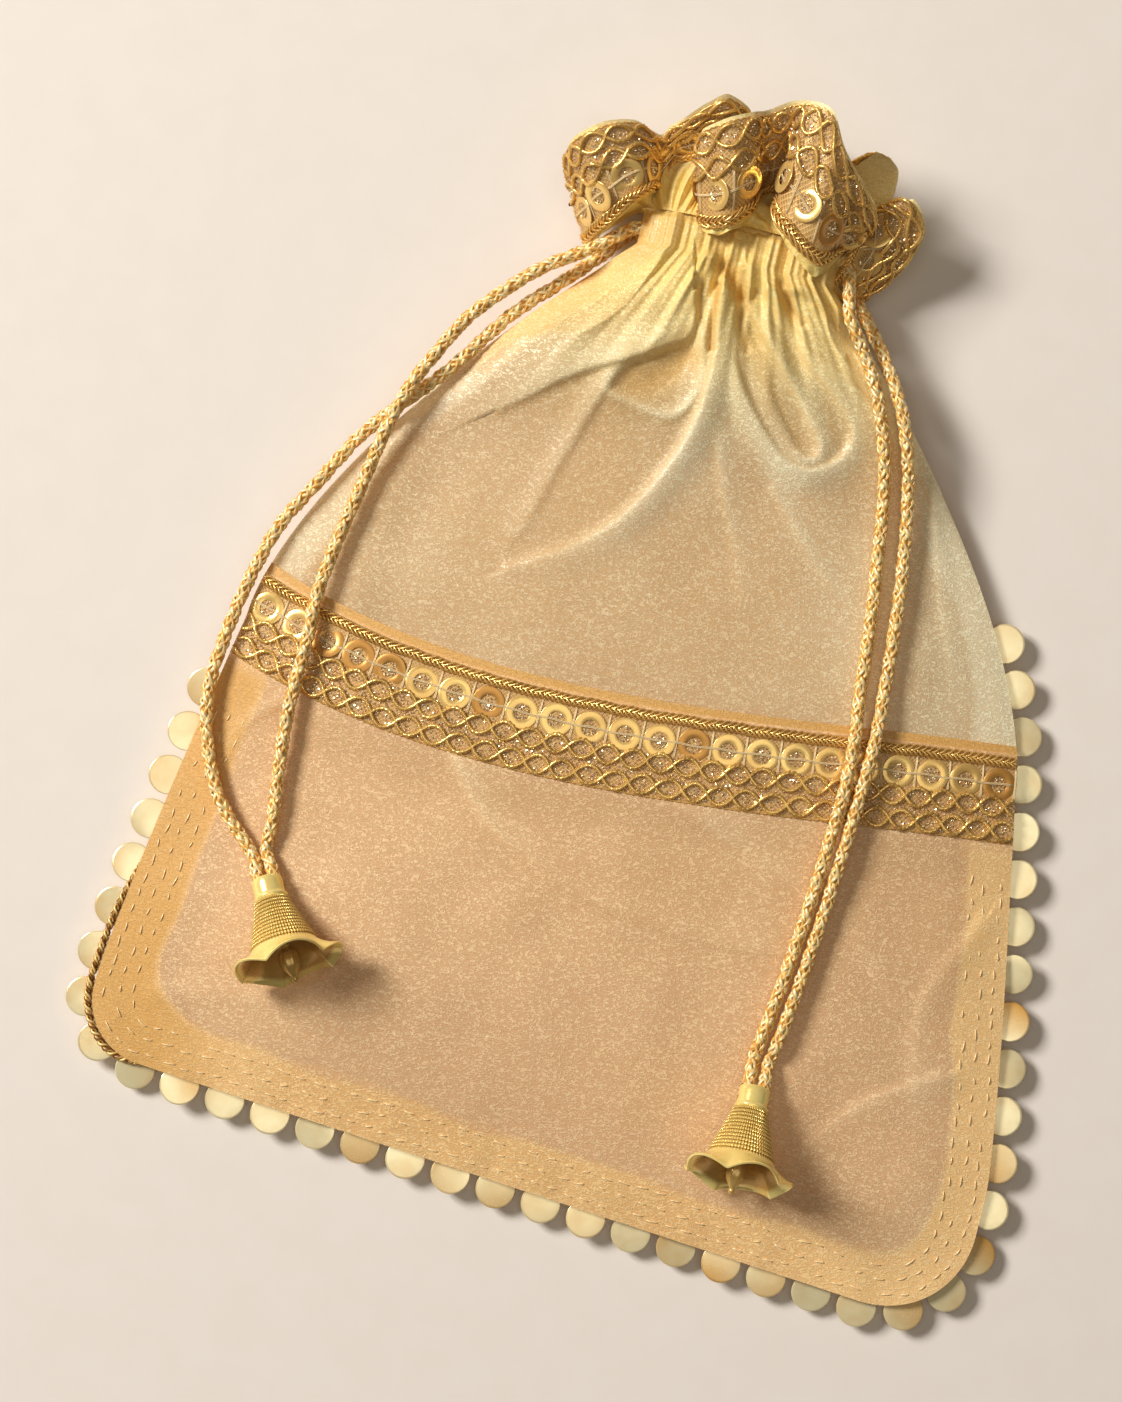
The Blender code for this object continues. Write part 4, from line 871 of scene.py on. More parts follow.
def build_body(yellow, peach, hem):
    """The back, the lower front with its turned hem, the upper front with its folds, and the hem's raw inner fold.
    Each one's shades are sums of smooth steps in from its edges, folds, hollows and mottled haze; some of
    them are painted light and shade."""
    u, x, y = panel_grid(bottom_edge, lambda u: NECK_Y + 0 * u, 190, 150)
    from_edge = from_seam(u, y)
    lift = smooth((1 - np.abs(u)) / 0.3) * smooth((y - bottom_edge(u)) / 30)
    back = back_height(u, y) + 0.5 * lift * (1 + mottle(x + 90, y + 400, 18.0, 9)) * smooth((y + 100) / 40)
    edge = 0.30 * smooth(1 - (y - bottom_edge(u)) / 12)
    warm = np.maximum(smooth((10 - from_edge) / 3), 0.25)
    piece = add_cloth(
        "back_cloth", u, y, back, peach, "peach_organza", 0.10 + edge, 0.0, warm, press=False,
        stands_for=["back_panel"]
    )

    u, x, y = panel_grid(bottom_edge, lambda u: band_edge(u) + LACE_WIDTH + HEM_SHOWS, 230, 330)
    lift, gather_and_light, shade = folds(x, y, LOWER_FOLDS)
    inside = smooth((band_edge(u) + 2 - y) / 6)
    strip = smooth((y - band_edge(u) - LACE_WIDTH - 0.2) / 0.4)
    haze = 0.20 * mottle(x + 500, y + 300, 30.0, 12) + 0.10 * mottle(x + 500, y + 300, 11.0, 14)
    side, low = from_seam(u, y), y - bottom_edge(u)
    in_from_rim = side * low / np.hypot(side, low + 1e-6) - 1.4 * mottle(x + 700, y + 300, 14.0, 17)
    turned = smooth((HEM_TURNED - in_from_rim) / 2.2) * inside
    darker_near_band = 0.16 * smooth((y + 70) / 50) * (1 - turned) * inside
    # Painted light: the turned hem lighter towards the right, where its strip is also less dark.
    right = smooth((x - 30) / 60) * turned
    gather_and_light = gather_and_light + haze + 0.55 * strip + 0.36 * turned + 0.30 * right
    warm = np.maximum(strip, 0.80 * turned)
    height = lower_height(u, y) + lift * inside
    # Painted shade below the folds' edges and on the turned hem at the far left; darker towards the band and on the
    # strip.
    hollow_and_shade = 0.8 * shade + darker_near_band + 0.75 * strip * (1 - 0.5 * right) + 0.75 * turned * smooth((-70 - x) / 30)
    piece = add_cloth(
        "front_lower_cloth", u, y, height, peach, "peach_organza", gather_and_light, hollow_and_shade, warm, stands_for=["front_lower_panel"]
    )

    u, x, y = panel_grid(lambda u: band_edge(u) + 3.6, lambda u: NECK_Y + 9.0 + 0 * u, 300, 310)
    from_edge = from_seam(u, y)
    lift, gather_and_light, shade = folds(x, y, FOLDS)
    hollow_and_shade = hollows(x, y)
    side = smooth((11.5 - from_edge + 2.5 * mottle(x + 200, y + 300, 16.0, 21)) / 4)
    streak = mottle(u * 62 + 100, y * 0.10 + 40, 1.0, 22) * smooth((y - 40) / 60)
    pleat = gathers(u, y) / 2.2
    draw = 0.30 * smooth((y - 78) / 42) + 0.30 * smooth((y - 108) / 14) + 0.40 * side * (1 + 0.4 * streak)
    draw += 0.12 * streak + 0.22 * pleat * smooth((y - 84) / 30)
    haze = 0.17 * mottle(x + 500, y + 300, 26.0, 15) + 0.08 * mottle(x + 500, y + 300, 9.0, 16)
    haze = haze + 0.30 * smooth((x - 12) / 50) * smooth((y - 4) / 30)
    gather_and_light = np.clip(gather_and_light + (1 - gather_and_light) * (draw + haze), 0, 1) * (1 - 0.75 * hollow_and_shade)
    warm = 0.8 * smooth((9.5 - from_edge) / 2) * smooth((y - 78) / 16) * (x < 0) * smooth((134 - y) / 6)
    inner = smooth((1 - np.abs(u)) / 0.10)
    height = upper_height(u, y) + (lift - 1.6 * hollow_and_shade) * smooth((y - 28) / 16) * inner
    # Painted shade in the pleats' troughs near the neck, then darker cloth towards the neck.
    hollow_and_shade = np.maximum(hollow_and_shade, shade) + 0.34 * smooth(-pleat - 0.15) * smooth((y - 100) / 20)
    hollow_and_shade = hollow_and_shade + 0.26 * smooth((y - 118) / 9)
    piece = add_cloth(
        "front_upper_cloth", u, y, height, yellow, "yellow_organza", gather_and_light, hollow_and_shade, warm,
        stands_for=["front_upper_panel"]
    )

    points, normals = trim_path(0.0, 900)
    share = np.linspace(0, 1, len(points))
    wide = HEM_FOLD + 1.6 * np.sin(share * 23) + 0.7 * np.sin(share * 61 + 1)
    inset = np.linspace(0.15, 1, 14)[:, None]
    place = points[None] - normals[None] * (inset * wide)[..., None]
    grid_y = place[..., 1]
    grid_u = np.clip(place[..., 0] / half_width(grid_y), -1, 1)
    grid = cloth_points(grid_u, grid_y, lower_height(grid_u, grid_y) - 0.35)
    grid = pressed(grid, WEIGHTS - [0, 0, 0.3, 0]).reshape(grid.shape)
    below = share < 0.90
    grid = grid[:, below]
    shade = 0.45 + 0.35 * smooth(1 - np.abs(inset - 0.97) / 0.06) + 0 * share[below]
    shades = {"gather_and_light": shade.ravel(), "hollow_and_shade": 0.0, "warm": 0.6}
    piece = add_piece("hem_fold", grid, grid_faces(*grid.shape[:2])[:, ::-1], hem, "organza_hem", shades=shades)


def trim_path(outset, count):
    """Points (x, y) and outward normals, evenly spaced along the trimmed edge: down the left side,
    across the bottom and up the right side, moved out by outset, which may be a function of the share."""
    left_y = np.linspace(TRIM_START_Y, bottom_edge(-1.0), 120, endpoint=False)
    right_y = np.linspace(bottom_edge(1.0), TRIM_END_Y, 160)[1:]
    u = np.sin(np.linspace(-math.pi / 2, math.pi / 2, 400))
    edge = np.concatenate([
        np.stack([-half_width(left_y), left_y], axis=1),
        np.stack([u * BOTTOM_HALF, bottom_edge(u)], axis=1),
        np.stack([half_width(right_y), right_y], axis=1),
    ])
    along = unit(np.gradient(edge, axis=0))
    normal = np.stack([along[:, 1], -along[:, 0]], axis=1)
    share = np.linspace(0, 1, len(edge))[:, None]
    moved = edge + normal * (outset(share) if callable(outset) else outset)
    run = run_along(moved)
    at = np.linspace(0, run[-1], count)
    return read_off(at, run, moved), unit(read_off(at, run, normal))


def build_trim(disc_gold, braid_gold, thread):
    """Paillettes, the twisted braid that carries them, and the running stitches of the hem."""
    columns = 44
    turn = round_circle(columns)
    circle = np.stack([np.cos(turn), np.sin(turn)], axis=1)
    hole, rim = circle * DISC_HOLE + (0, -DISC_HOLE_OFF), circle * DISC_RADIUS
    rows = [(0, 0.0), (0, 0.3), (0.45, 0.31), (0.93, 0.33), (0.985, 0.30), (1, 0.22), (1, 0.08), (0.98, 0.0)]
    rows += [(0.5, 0.0), (0, 0.0)]
    disc = np.concatenate([np.column_stack([blend(hole, rim, share), np.full(columns, z)]) for share, z in rows])
    faces = grid_faces(len(rows), columns, around=True)
    places, normals = trim_path(DISC_OUT, PAILLETTES)
    flat = np.column_stack([normals, np.zeros(PAILLETTES)])
    along = np.stack([flat[:, 1], -flat[:, 0], 0 * flat[:, 0]], axis=1)
    lean = np.radians(CHANCE.normal(-1.5, 4.5, PAILLETTES))[:, None]
    roll = np.radians(CHANCE.normal(0, 4.0, PAILLETTES))[:, None]
    out = unit(flat * np.cos(lean) + UP * np.sin(lean))
    along = unit(along * np.cos(roll) + UP * np.sin(roll))
    frames = np.stack([along, out, np.cross(along, out)], axis=1)
    centre = np.column_stack([places, np.full(PAILLETTES, DISC_Z)]) + (out - flat) * 3
    # Painted reflection: a gradient across each paillette, and each one lighter or darker as a whole.
    painted_reflection_sweep = disc[None, :, :1] * CHANCE.normal(0, 0.04, (PAILLETTES, 1, 1))
    painted_reflection_sweep = (painted_reflection_sweep + disc[None, :, 1:2] * CHANCE.normal(0, 0.05, (PAILLETTES, 1, 1))).ravel()
    shine = np.repeat(np.clip(CHANCE.normal(0.92, 0.30, PAILLETTES), 0.12, 1.05), len(disc)) + painted_reflection_sweep
    names = [f"paillette_{number:02d}" for number in range(1, PAILLETTES + 1)]
    discs = repeated(disc, faces, centre, frames)
    add_piece("paillettes", *discs, disc_gold, "gold_paillette", shades={"shine": shine}, crease=50, stands_for=names)

    def braid_outset(share):
        """Just inside the seam, but outside it along the lower left side."""
        out = smooth((share - 0.08) / 0.06) * smooth((0.30 - share) / 0.06)
        return blend(-1.6, 1.3, out)

    line, normals = trim_path(braid_outset, 1500)
    turn = TURN * run_along(line) / TWIST_PITCH
    shapes = []
    for phase in (0, math.pi):
        swing = 0.5 * np.cos(turn + phase)
        path = np.column_stack([line + normals * swing[:, None], TWIST_Z + 0.36 * np.sin(turn + phase)])
        shapes.append(tube(path, 0.52, 0.42, 7, UP))
    uv = np.tile(tube_lay(np.arange(len(line) + 2) * 0.33, 7), (2, 1))
    add_piece("edge_twist", *joined(shapes), braid_gold, "gold_lace", uv=uv, weld=True, stands_for=["edge_braid"])

    stitches = []
    for inset, pitch, seed in STITCH_ROWS:
        dense, normals = trim_path(-inset, 2400)
        length = run_along(dense)
        start = np.arange(4, length[-1] * 0.88, pitch)
        start = start + np.random.default_rng(seed).uniform(-0.5, 0.5, len(start))
        share = np.linspace(0, 1, 5)[None, :]
        at = start[:, None] + share * np.random.default_rng(seed + 9).uniform(1.4, 3.0, (len(start), 1))
        aside = np.random.default_rng(seed + 19).uniform(-0.5, 0.5, (len(start), 2))
        shift = aside[:, :1] + aside[:, 1:] * (share - 0.5)
        x = np.interp(at, length, dense[:, 0]) + shift * np.interp(at, length, normals[:, 0])
        y = np.interp(at, length, dense[:, 1]) + shift * np.interp(at, length, normals[:, 1])
        u = np.clip(x / half_width(y), -1, 1)
        z = lower_height(u, y) + 0.03 + 0.26 * np.sin(math.pi * share)
        lines = np.stack([x, y, z], axis=-1)
        keep = (CHANCE.uniform(size=len(lines)) < 0.93) & (lines[:, 0, 1] < -10)
        stitches += [tube(line, 0.15, 0.12, 5, UP) for line in lines[keep]]
    add_piece("running_stitches", *joined(stitches), thread, "stitching", weld=True)


# Lace


class Cloth:
    """A surface that flat work is laid on: place(s, t, h) is s along it, t across it and h off it. Its grid holds
    points on even steps of s and t, and place blends the four around."""

    def __init__(self, grid, length, width, outward, around):
        self.grid = grid
        self.length = length
        self.width = width
        self.around = around
        wrapped = np.concatenate([grid[:, -2:-1], grid, grid[:, 1:2]], axis=1) if around else grid
        along = np.gradient(wrapped, axis=1)
        along = along[:, 1:-1] if around else along
        self.normal = unit(np.cross(along, np.gradient(grid, axis=0))) * outward

    def place(self, s, t, h):
        """Points at s along, t across and h off the cloth."""
        s, t, h = np.broadcast_arrays(np.asarray(s, float), np.asarray(t, float), np.asarray(h, float))
        rows, columns = self.grid.shape[:2]
        share = s / self.length
        share = share % 1.0 if self.around else share
        column = np.clip(share, 0, 1) * (columns - 1)
        row = np.clip(t / self.width, 0, 1) * (rows - 1)
        c, r = np.minimum(column.astype(int), columns - 2), np.minimum(row.astype(int), rows - 2)
        fc, fr = (column - c)[..., None], (row - r)[..., None]

        def at(field):
            near = blend(field[r, c], field[r, c + 1], fc)
            far = blend(field[r + 1, c], field[r + 1, c + 1], fc)
            return blend(near, far, fr)

        return at(self.grid) + unit(at(self.normal)) * h[..., None]

    def frames(self, s, t):
        """For each place: its directions along and across the cloth and off it."""
        off = self.place(s, t, 1.0) - self.place(s, t, 0.0)
        along = self.place(s + WIRE_STEP, t, 0.0) - self.place(s - WIRE_STEP, t, 0.0)
        across = unit(np.cross(off, along))
        return np.stack([unit(np.cross(across, off)), across, unit(off)], axis=-2)

    def off(self, s, t):
        """For each place: its direction off the cloth."""
        return self.frames(s, t + 0 * s)[:, 2]


def tilted(frames, lean):
    """The frames with their outward direction leaned at random by about this many degrees."""
    push = np.radians(lean) * CHANCE.normal(size=(len(frames), 2))
    off = unit(frames[:, 2] + push[:, :1] * frames[:, 0] + push[:, 1:] * frames[:, 1])
    along = unit(np.cross(frames[:, 1], off))
    return np.stack([along, np.cross(off, along), off], axis=1)


def build_lace(name, cloth, finishes, dull, stands_for):
    """The lace on a cloth: two twisted braids, a row of ring sequins under a thread, and two chains of eyelets
    made by crossing waves of wire, with glitter on a net."""
    net, ring_gold, wire_gold, glitter_gold, thread = finishes
    s = np.linspace(0, cloth.length, int(cloth.length / NET_STEP))
    t = np.linspace(0.0, cloth.width, 22)
    grid_s, grid_t = np.meshgrid(s, t)
    scallop = 0.5 * np.abs(np.sin(math.pi * grid_s / CHAIN_PITCH)) * (grid_t > cloth.width * 0.98)
    points = cloth.place(grid_s, grid_t - 0.6 * scallop, 0.22)
    uv = np.stack([grid_s, grid_t], axis=-1)
    base = add_piece(name + "_net", points, grid_faces(len(t), len(s)), net, "gold_lace", uv=uv, stands_for=stands_for)

    ends = (0.0, cloth.length) if cloth.around else (0.4, cloth.length - 0.4)
    fine = np.arange(ends[0], ends[1], WIRE_STEP)
    wander = 0.22 * mottle(fine + 40, 0 * fine + 7, 3.1, 31)
    shapes = []
    for row, hand in ((BRAID_ROWS[0], 1), (BRAID_ROWS[1], -1)):
        for phase in (0, TURN / 3, 2 * TURN / 3):
            turn = hand * TURN * fine / (4.6 + 0.6 * hand) + phase + 3.0 * wander
            path = cloth.place(fine, row + wander + 0.60 * np.cos(turn), 0.74 + 0.38 * np.sin(turn))
            shapes.append(tube(path, 0.30, 0.24, 5, cloth.off(fine, row)))
    add_piece(name + "_braid", *joined(shapes), wire_gold, "gold_lace", shades={"shine": 0.95}, weld=True)

    turn = round_circle(30)
    hole, rim = RING_HOLE, RING_RADIUS
    radius = np.array([hole, hole + 0.05, hole + 0.12, rim - 0.14, rim - 0.05, rim, rim - 0.6, hole])[:, None]
    high = np.array([0.0, 0.10, 0.14, 0.14, 0.10, 0.02, 0.02, 0.0])[:, None]
    ring = np.stack([radius * np.cos(turn), radius * np.sin(turn), high + 0 * turn], axis=-1).reshape(-1, 3)
    count = int((ends[1] - ends[0]) / RING_PITCH)
    at = ends[0] + (np.arange(count) + 0.5) * (ends[1] - ends[0]) / count
    frames = tilted(cloth.frames(at, RING_ROW + 0 * at), 2.6)
    places = cloth.place(at, RING_ROW + CHANCE.uniform(-0.15, 0.15, count), 0.36)
    points, faces = repeated(ring, grid_faces(len(high), len(turn), around=True)[:, ::-1], places, frames)
    bright = np.clip(CHANCE.normal(0.90, 0.10, count), 0.5, 1)
    bright[[i for i in dull if i < count]] = 0.10
    shades = {"shine": np.repeat(bright, len(ring))}
    rings = add_piece(name + "_rings", points, faces, ring_gold, "gold_lace", shades=shades, crease=40, weld=True)

    shapes = []
    for row, phase in zip(CHAIN_ROWS, (0.0, 0.5)):
        sway = 0.20 * mottle(fine + 60, 0 * fine + row, 7.3, 33)
        for hand in (1, -1):
            beat = fine / CHAIN_PITCH + phase + 0.05 * mottle(fine + 30, 0 * fine + row, 9.1, 35)
            wave = np.sign(np.cos(math.pi * beat)) * np.abs(np.cos(math.pi * beat)) ** 0.85
            rise = 0.66 + 0.20 * hand * np.sin(TURN * beat)
            path = cloth.place(fine, row + sway + hand * CHAIN_HEIGHT * wave, rise)
            shapes.append(twisted_pair(path, WIRE_RADIUS, WIRE_PITCH, cloth.off(fine, row)))
    edge = fine[::2]
    wave = 0.45 * np.abs(np.sin(math.pi * edge / 1.6))
    path = cloth.place(edge, CHAIN_ROWS[1] + CHAIN_HEIGHT + 0.15 + wave, 0.34)
    shapes.append(tube(path, 0.2, 0.16, 4, cloth.off(edge, CHAIN_ROWS[1])))
    chains = add_piece(name + "_eyelets", *joined(shapes), wire_gold, "gold_lace", shades={"shine": 0.95}, weld=True)

    shapes = []
    line = fine[::3]
    for shift in (-0.14, 0.14):
        path = cloth.place(line, RING_ROW + shift + 0.15 * np.sin(line * 0.6), 0.70)
        shapes.append(tube(path, 0.11, 0.10, 4, cloth.off(line, RING_ROW)))
    across = np.linspace(-1, 1, 7)
    down = RING_ROW + across * 4.3
    for middle in at + RING_PITCH / 2:
        for slip in (-0.10, 0.16):
            path = cloth.place(middle + slip + 0.2 * across * slip, down, 0.52 - 0.12 * across**4)
            shapes.append(tube(path, 0.10, 0.09, 4, cloth.off(middle + 0 * across, down)))
    add_piece(name + "_threads", *joined(shapes), thread, "stitching")

    amount = int(cloth.length * GLITTER_FOR_EACH_MM)
    place_s = CHANCE.uniform(*ends, amount)
    low, high = CHAIN_ROWS[0] - CHAIN_HEIGHT, CHAIN_ROWS[1] + CHAIN_HEIGHT * 0.9
    place_t = CHANCE.uniform(low, high, amount)
    in_hole = CHANCE.uniform(size=amount) < 0.16
    ring_of = CHANCE.integers(0, count, amount)
    spread, angle = 2.0 * np.sqrt(CHANCE.uniform(size=amount)), CHANCE.uniform(0, TURN, amount)
    place_s = np.where(in_hole, at[ring_of] + spread * np.cos(angle), place_s)
    place_t = np.where(in_hole, RING_ROW + spread * np.sin(angle), place_t)
    flake = np.array([(0.34, 0, 0), (0, 0.30, 0), (-0.34, 0, 0), (0, -0.30, 0), (0, 0, 0.20)])
    sides = np.array([(0, 1, 4), (1, 2, 4), (2, 3, 4), (3, 0, 4)])
    frames = tilted(cloth.frames(place_s, place_t), 24)
    places = cloth.place(place_s, place_t, CHANCE.uniform(0.26, 0.5, amount))
    points, faces = repeated(flake, sides, places, frames)
    shine = np.repeat(CHANCE.uniform(0.3, 1, amount), 5)
    add_piece(name + "_glitter", points, faces, glitter_gold, "gold_lace", shades={"shine": shine}, crease=0)
    return base, [rings, chains]


def band_cloth():
    """The lower panel's front where the band lies, with s from its left end and t down from its upper edge."""
    u = np.linspace(-1, 1, 420)[None, :]
    y = band_edge(u) + LACE_WIDTH - np.linspace(0, LACE_WIDTH, 26)[:, None]
    grid = cloth_points(u, y, lower_height(u, y))
    grid = pressed(grid, WEIGHTS - [0, 0, 1.5, 0]).reshape(grid.shape)
    length = np.linalg.norm(np.diff(grid[10], axis=0), axis=1).sum()
    return Cloth(grid, length, LACE_WIDTH, -1.0, around=False)


# Neck and frill


def neck_ring(turn, radius):
    """Points (x, z) of the neck's stadium at a turn in degrees from the right, over the top to the left."""
    level, up = np.cos(np.radians(turn)), np.sin(np.radians(turn))
    arc = np.sign(level) * np.abs(level) ** 0.75
    return np.stack([NECK_FLAT * arc + radius * level, NECK_Z + radius * up], axis=-1)


def ring_pleats(turn):
    """Pleats round the neck: uneven waves of the turn."""
    a = np.radians(turn)
    return 0.55 * np.cos(16 * a + 0.4) + 0.4 * np.cos(27 * a + 1.7) + 0.25 * np.cos(43 * a + 0.9)


def build_neck(yellow):
    """The gathered casing round the neck: pinched at both stitch lines and puffed over the cords between them, with
    its faces left out where the cords pass through the slots."""
    turn = np.linspace(180, -180, 420, endpoint=False)[None, :]
    share = np.linspace(-0.06, 1.06, 30)[:, None]
    puff = np.sin(math.pi * np.clip(share, 0, 1)) ** 0.6
    radius = CASING_RADIUS + 0.9 * puff + 0.25 * ring_pleats(turn)
    ring = neck_ring(turn, radius)
    y = blend(CHANNEL_START, CHANNEL_END, share) + 0.5 * mottle(turn / 4 + 50, 0 * turn, 5.0, 4)
    grid = np.stack([ring[..., 0], np.broadcast_to(y, ring.shape[:2]), ring[..., 1]], axis=-1)
    faces = grid_faces(*grid.shape[:2], around=True)
    middle = grid.reshape(-1, 3)[faces].mean(axis=1)
    keep = np.ones(len(faces), bool)
    for path in PATHS.values():
        away = np.linalg.norm(middle[:, None] - path[None, :30:3], axis=2).min(axis=1)
        keep &= away > CORD / 2 + 0.1
    shade = np.clip(0.72 + 0.25 * puff + 0.2 * ring_pleats(turn), 0, 1)
    shades = {"gather_and_light": shade.ravel(), "hollow_and_shade": 0.15, "warm": 0.2}
    piece = add_piece(
        "neck_casing_cloth", grid, faces[keep], yellow, "yellow_organza", shades=shades, stands_for=["neck_casing"]
    )


def frill_lines(columns):
    """The frill's lines from its foot at the neck to its mouth: the foot, the fold under a flap, the flap's edge, the
    lace's braid, and the mouth edge, each as points round the mouth on curves drawn a little towards straight steps.
    Below the lobes in front the cloth sags a little under the braid. Elsewhere it rises from the neck with a puff."""
    braid, mouth = np.split(np.array(FRILL), 2, axis=1)
    sag = np.array([[FRILL_SAG.get(row, 0.0)] for row in range(len(FRILL))])
    run = run_along(closed(braid))
    turn = np.interp(run[:-1], [0, run[FRILL_RIGHT], run[-1]], [180, 0, -180])
    ring = neck_ring(turn, FRILL_FOOT)
    foot = np.stack([ring[:, 0], np.full(len(turn), CHANNEL_END - 0.6), ring[:, 1]], axis=1)
    puff = 1.3 * unit(braid - (-2, 140, 12))
    hanging = smooth(sag / 3)
    flap = blend(blend(foot, braid, 0.66) + puff, braid + sag * (0, -1.0, -0.4), hanging)
    under = blend(blend(foot, braid, 0.33) + puff, blend(foot, flap, 0.55) + (0, 0.5, 0.4), hanging)
    corners = [round_loop(line, columns) for line in (foot, under, flap, braid, mouth)]
    at = np.linspace(0, len(braid), columns, endpoint=False)
    first, part = np.floor(at).astype(int), (at % 1)[:, None]

    def straight(line):
        return blend(line[first % len(line)], line[(first + 1) % len(line)], part)

    steps = [straight(line) for line in (under, flap, braid, mouth)]
    return [corners[0], *(blend(curve, step, 0.22) for curve, step in zip(corners[1:], steps))]


def build_frill(yellow):
    """The frill: a skirt on curves through the foot, under, flap and braid lines with waves across it, then the
    lining of the lace, which runs straight from the braid to the mouth and buckles, then a narrow rim. Gives the
    cloth that the lace lies on."""
    columns = 760
    lines = frill_lines(columns)
    braid, mouth = lines[3:]
    steps = np.linalg.norm(np.roll(mouth + braid, -1, axis=0) - mouth - braid, axis=1) / 2
    run = np.concatenate([[0], np.cumsum(steps)])
    even = np.linspace(0, run[-1], columns)

    foot, under, flap, braid, mouth = (read_off(even, run, closed(line)) for line in lines)
    a = TURN * np.arange(columns) / columns
    across = np.linspace(0, 1, 24)[:, None, None]
    lace_grid = blend(braid[None], mouth[None], across)
    normal = unit(np.cross(np.gradient(lace_grid, axis=1), np.gradient(lace_grid, axis=0)))
    buckle = 0.5 * np.sin(math.pi * across[..., 0]) * (1 + np.cos(23 * a) + 0.6 * np.cos(37 * a + 1.3))[None]
    lace_grid = lace_grid + normal * buckle[..., None]
    lace_cloth = Cloth(lace_grid, run[-1], LACE_WIDTH, 1.0, around=True)

    knots = np.stack([foot, under, flap, braid])
    rise = knots[3] + 0.4 * (mouth - braid)
    knots = np.concatenate([knots[:1] * 2 - knots[1:2], knots, rise[None]])
    t = np.linspace(0, 1, 12, endpoint=False)[:, None, None]
    skirt = np.concatenate([rounded(*four, t) for four in zip(knots, knots[1:], knots[2:], knots[3:])])
    share = np.linspace(0, 1, len(skirt), endpoint=False)[:, None]
    waves = (0.55 * np.cos(47 * a) + 0.42 * np.cos(71 * a + 1) + 0.6 * np.cos(29 * a + 2))[None]
    crimp = waves * np.sin(math.pi * share) ** 0.7
    skirt = skirt + crimp[..., None] * (0, 0.2, 1.3)
    lining = lace_grid - normal * 0.25
    rim = lace_grid[-1:] + unit(lace_grid[-1:] - lace_grid[-2:-1]) * 0.7 - normal[-1:] * 0.3
    above_table = (-np.inf, -np.inf, 0.2)
    grid = np.maximum(np.concatenate([skirt, lining, rim]), above_table)
    # Painted light on the skirt's pleat crests, and painted shade in their troughs and by the foot.
    fade = 0.66 + 0.22 * waves * np.sin(math.pi * share)
    shade = np.concatenate([fade, 0.74 + 0.14 * np.cos(47 * a)[None] + 0 * lining[..., 0], 0.35 + 0 * a[None]])
    painted_skirt_shade = 0.34 * smooth(1 - share / 0.3) + 0.30 * smooth(-waves - 0.3) * np.sin(math.pi * share)
    hollow_and_shade = np.concatenate([painted_skirt_shade, 0 * lining[..., 0], 0 * a[None]])
    shades = {"gather_and_light": np.clip(shade, 0, 1).ravel(), "hollow_and_shade": hollow_and_shade.ravel(), "warm": 0.0}
    piece = add_piece(
        "frill_cloth", grid, grid_faces(*grid.shape[:2]), yellow, "yellow_organza", shades=shades, weld=True,
        stands_for=["neck_frill"]
    )
    return lace_cloth


# Cords and bells


def braided(path, reference, turn_start=0.0):
    """A round braid: five strands wind one way and five the other round the middle line, and every strand goes
    over and under the ones that it crosses, with a plain core inside. Returns points, faces and uv."""
    _, side, up = path_frame(path, reference)
    length = run_along(path)
    count, pitch = 5, 16.5
    shapes, maps = [], []
    for hand in (1, -1):
        for strand in range(count):
            lag = 0.10 * math.sin(2.4 * strand + hand)
            turn = hand * TURN * length / pitch + (strand + lag) * TURN / count + turn_start
            beat = np.cos(TURN * count * length / pitch + strand * math.pi)
            over = 1.20 + 0.22 * hand * beat + 0.05 * math.sin(5 * strand)
            spoke = np.cos(turn)[:, None] * side + np.sin(turn)[:, None] * up
            shapes.append(tube(path + spoke * over[:, None], 0.62, 0.38, 5, spoke, capped=False))
            maps.append(tube_lay(length * hand, 5))
    shapes.append(tube(path[::4], 0.95, 0.95, 6, reference))
    maps.append(np.zeros((len(shapes[-1][0]), 2)))
    return (*joined(shapes), np.concatenate(maps))


def build_cords(finish):
    """Each drawcord as a loop in the casing and two free strands. Gives the strands with their middle lines."""
    made = {}
    for side in CORD_Y:
        node = f"drawcord_{side}"
        points, faces, uv = braided(loop_path(side), np.array([0, 1.0, 0]))
        add_piece(f"cord_{side}_in_casing", points, faces, finish, "gold_cord", uv=uv, stands_for=[node])
        for upper in (True, False):
            path = PATHS[side, upper]
            points, faces, uv = braided(path, UP, 0.4 if upper else 0.0)
            name = f"cord_{side}_{'upper' if upper else 'lower'}"
            made[side, upper] = add_piece(name, points, faces, finish, "gold_cord", uv=uv, stands_for=[node]), path
    return made


def clapper_shape():
    """A clapper in its bell's own place: a turned stem and bud with six shallow flutes, and the eye round its pin,
    all leaned to rest."""
    profile = curve_through(CLAPPER, 0.3)
    turn = round_circle(48)
    along = profile[:, 1:]
    radius = profile[:, :1] * (1 + 0.05 * np.cos(6 * turn) * smooth((along - 15) / 1.5) * smooth((22 - along) / 2))
    bud = np.stack([radius * np.cos(turn), radius * np.sin(turn), along + 0 * turn], axis=-1)
    eye_turn = np.linspace(0, TURN, 36)
    eye_path = np.stack([0 * eye_turn, 1.32 * np.sin(eye_turn), 1.32 * np.cos(eye_turn)], axis=1)
    eye = tube(eye_path, 0.4, 0.4, 10, np.array([1.0, 0, 0]), capped=False)
    points, faces = joined([(bud.reshape(-1, 3), grid_faces(len(profile), 48, around=True)), eye])
    lean = math.radians(CLAPPER_REST)
    swing = [[1, 0, 0], [0, math.cos(lean), math.sin(lean)], [0, -math.sin(lean), math.cos(lean)]]
    return points @ np.array(swing) + (0, 0, PIN_DROP), faces


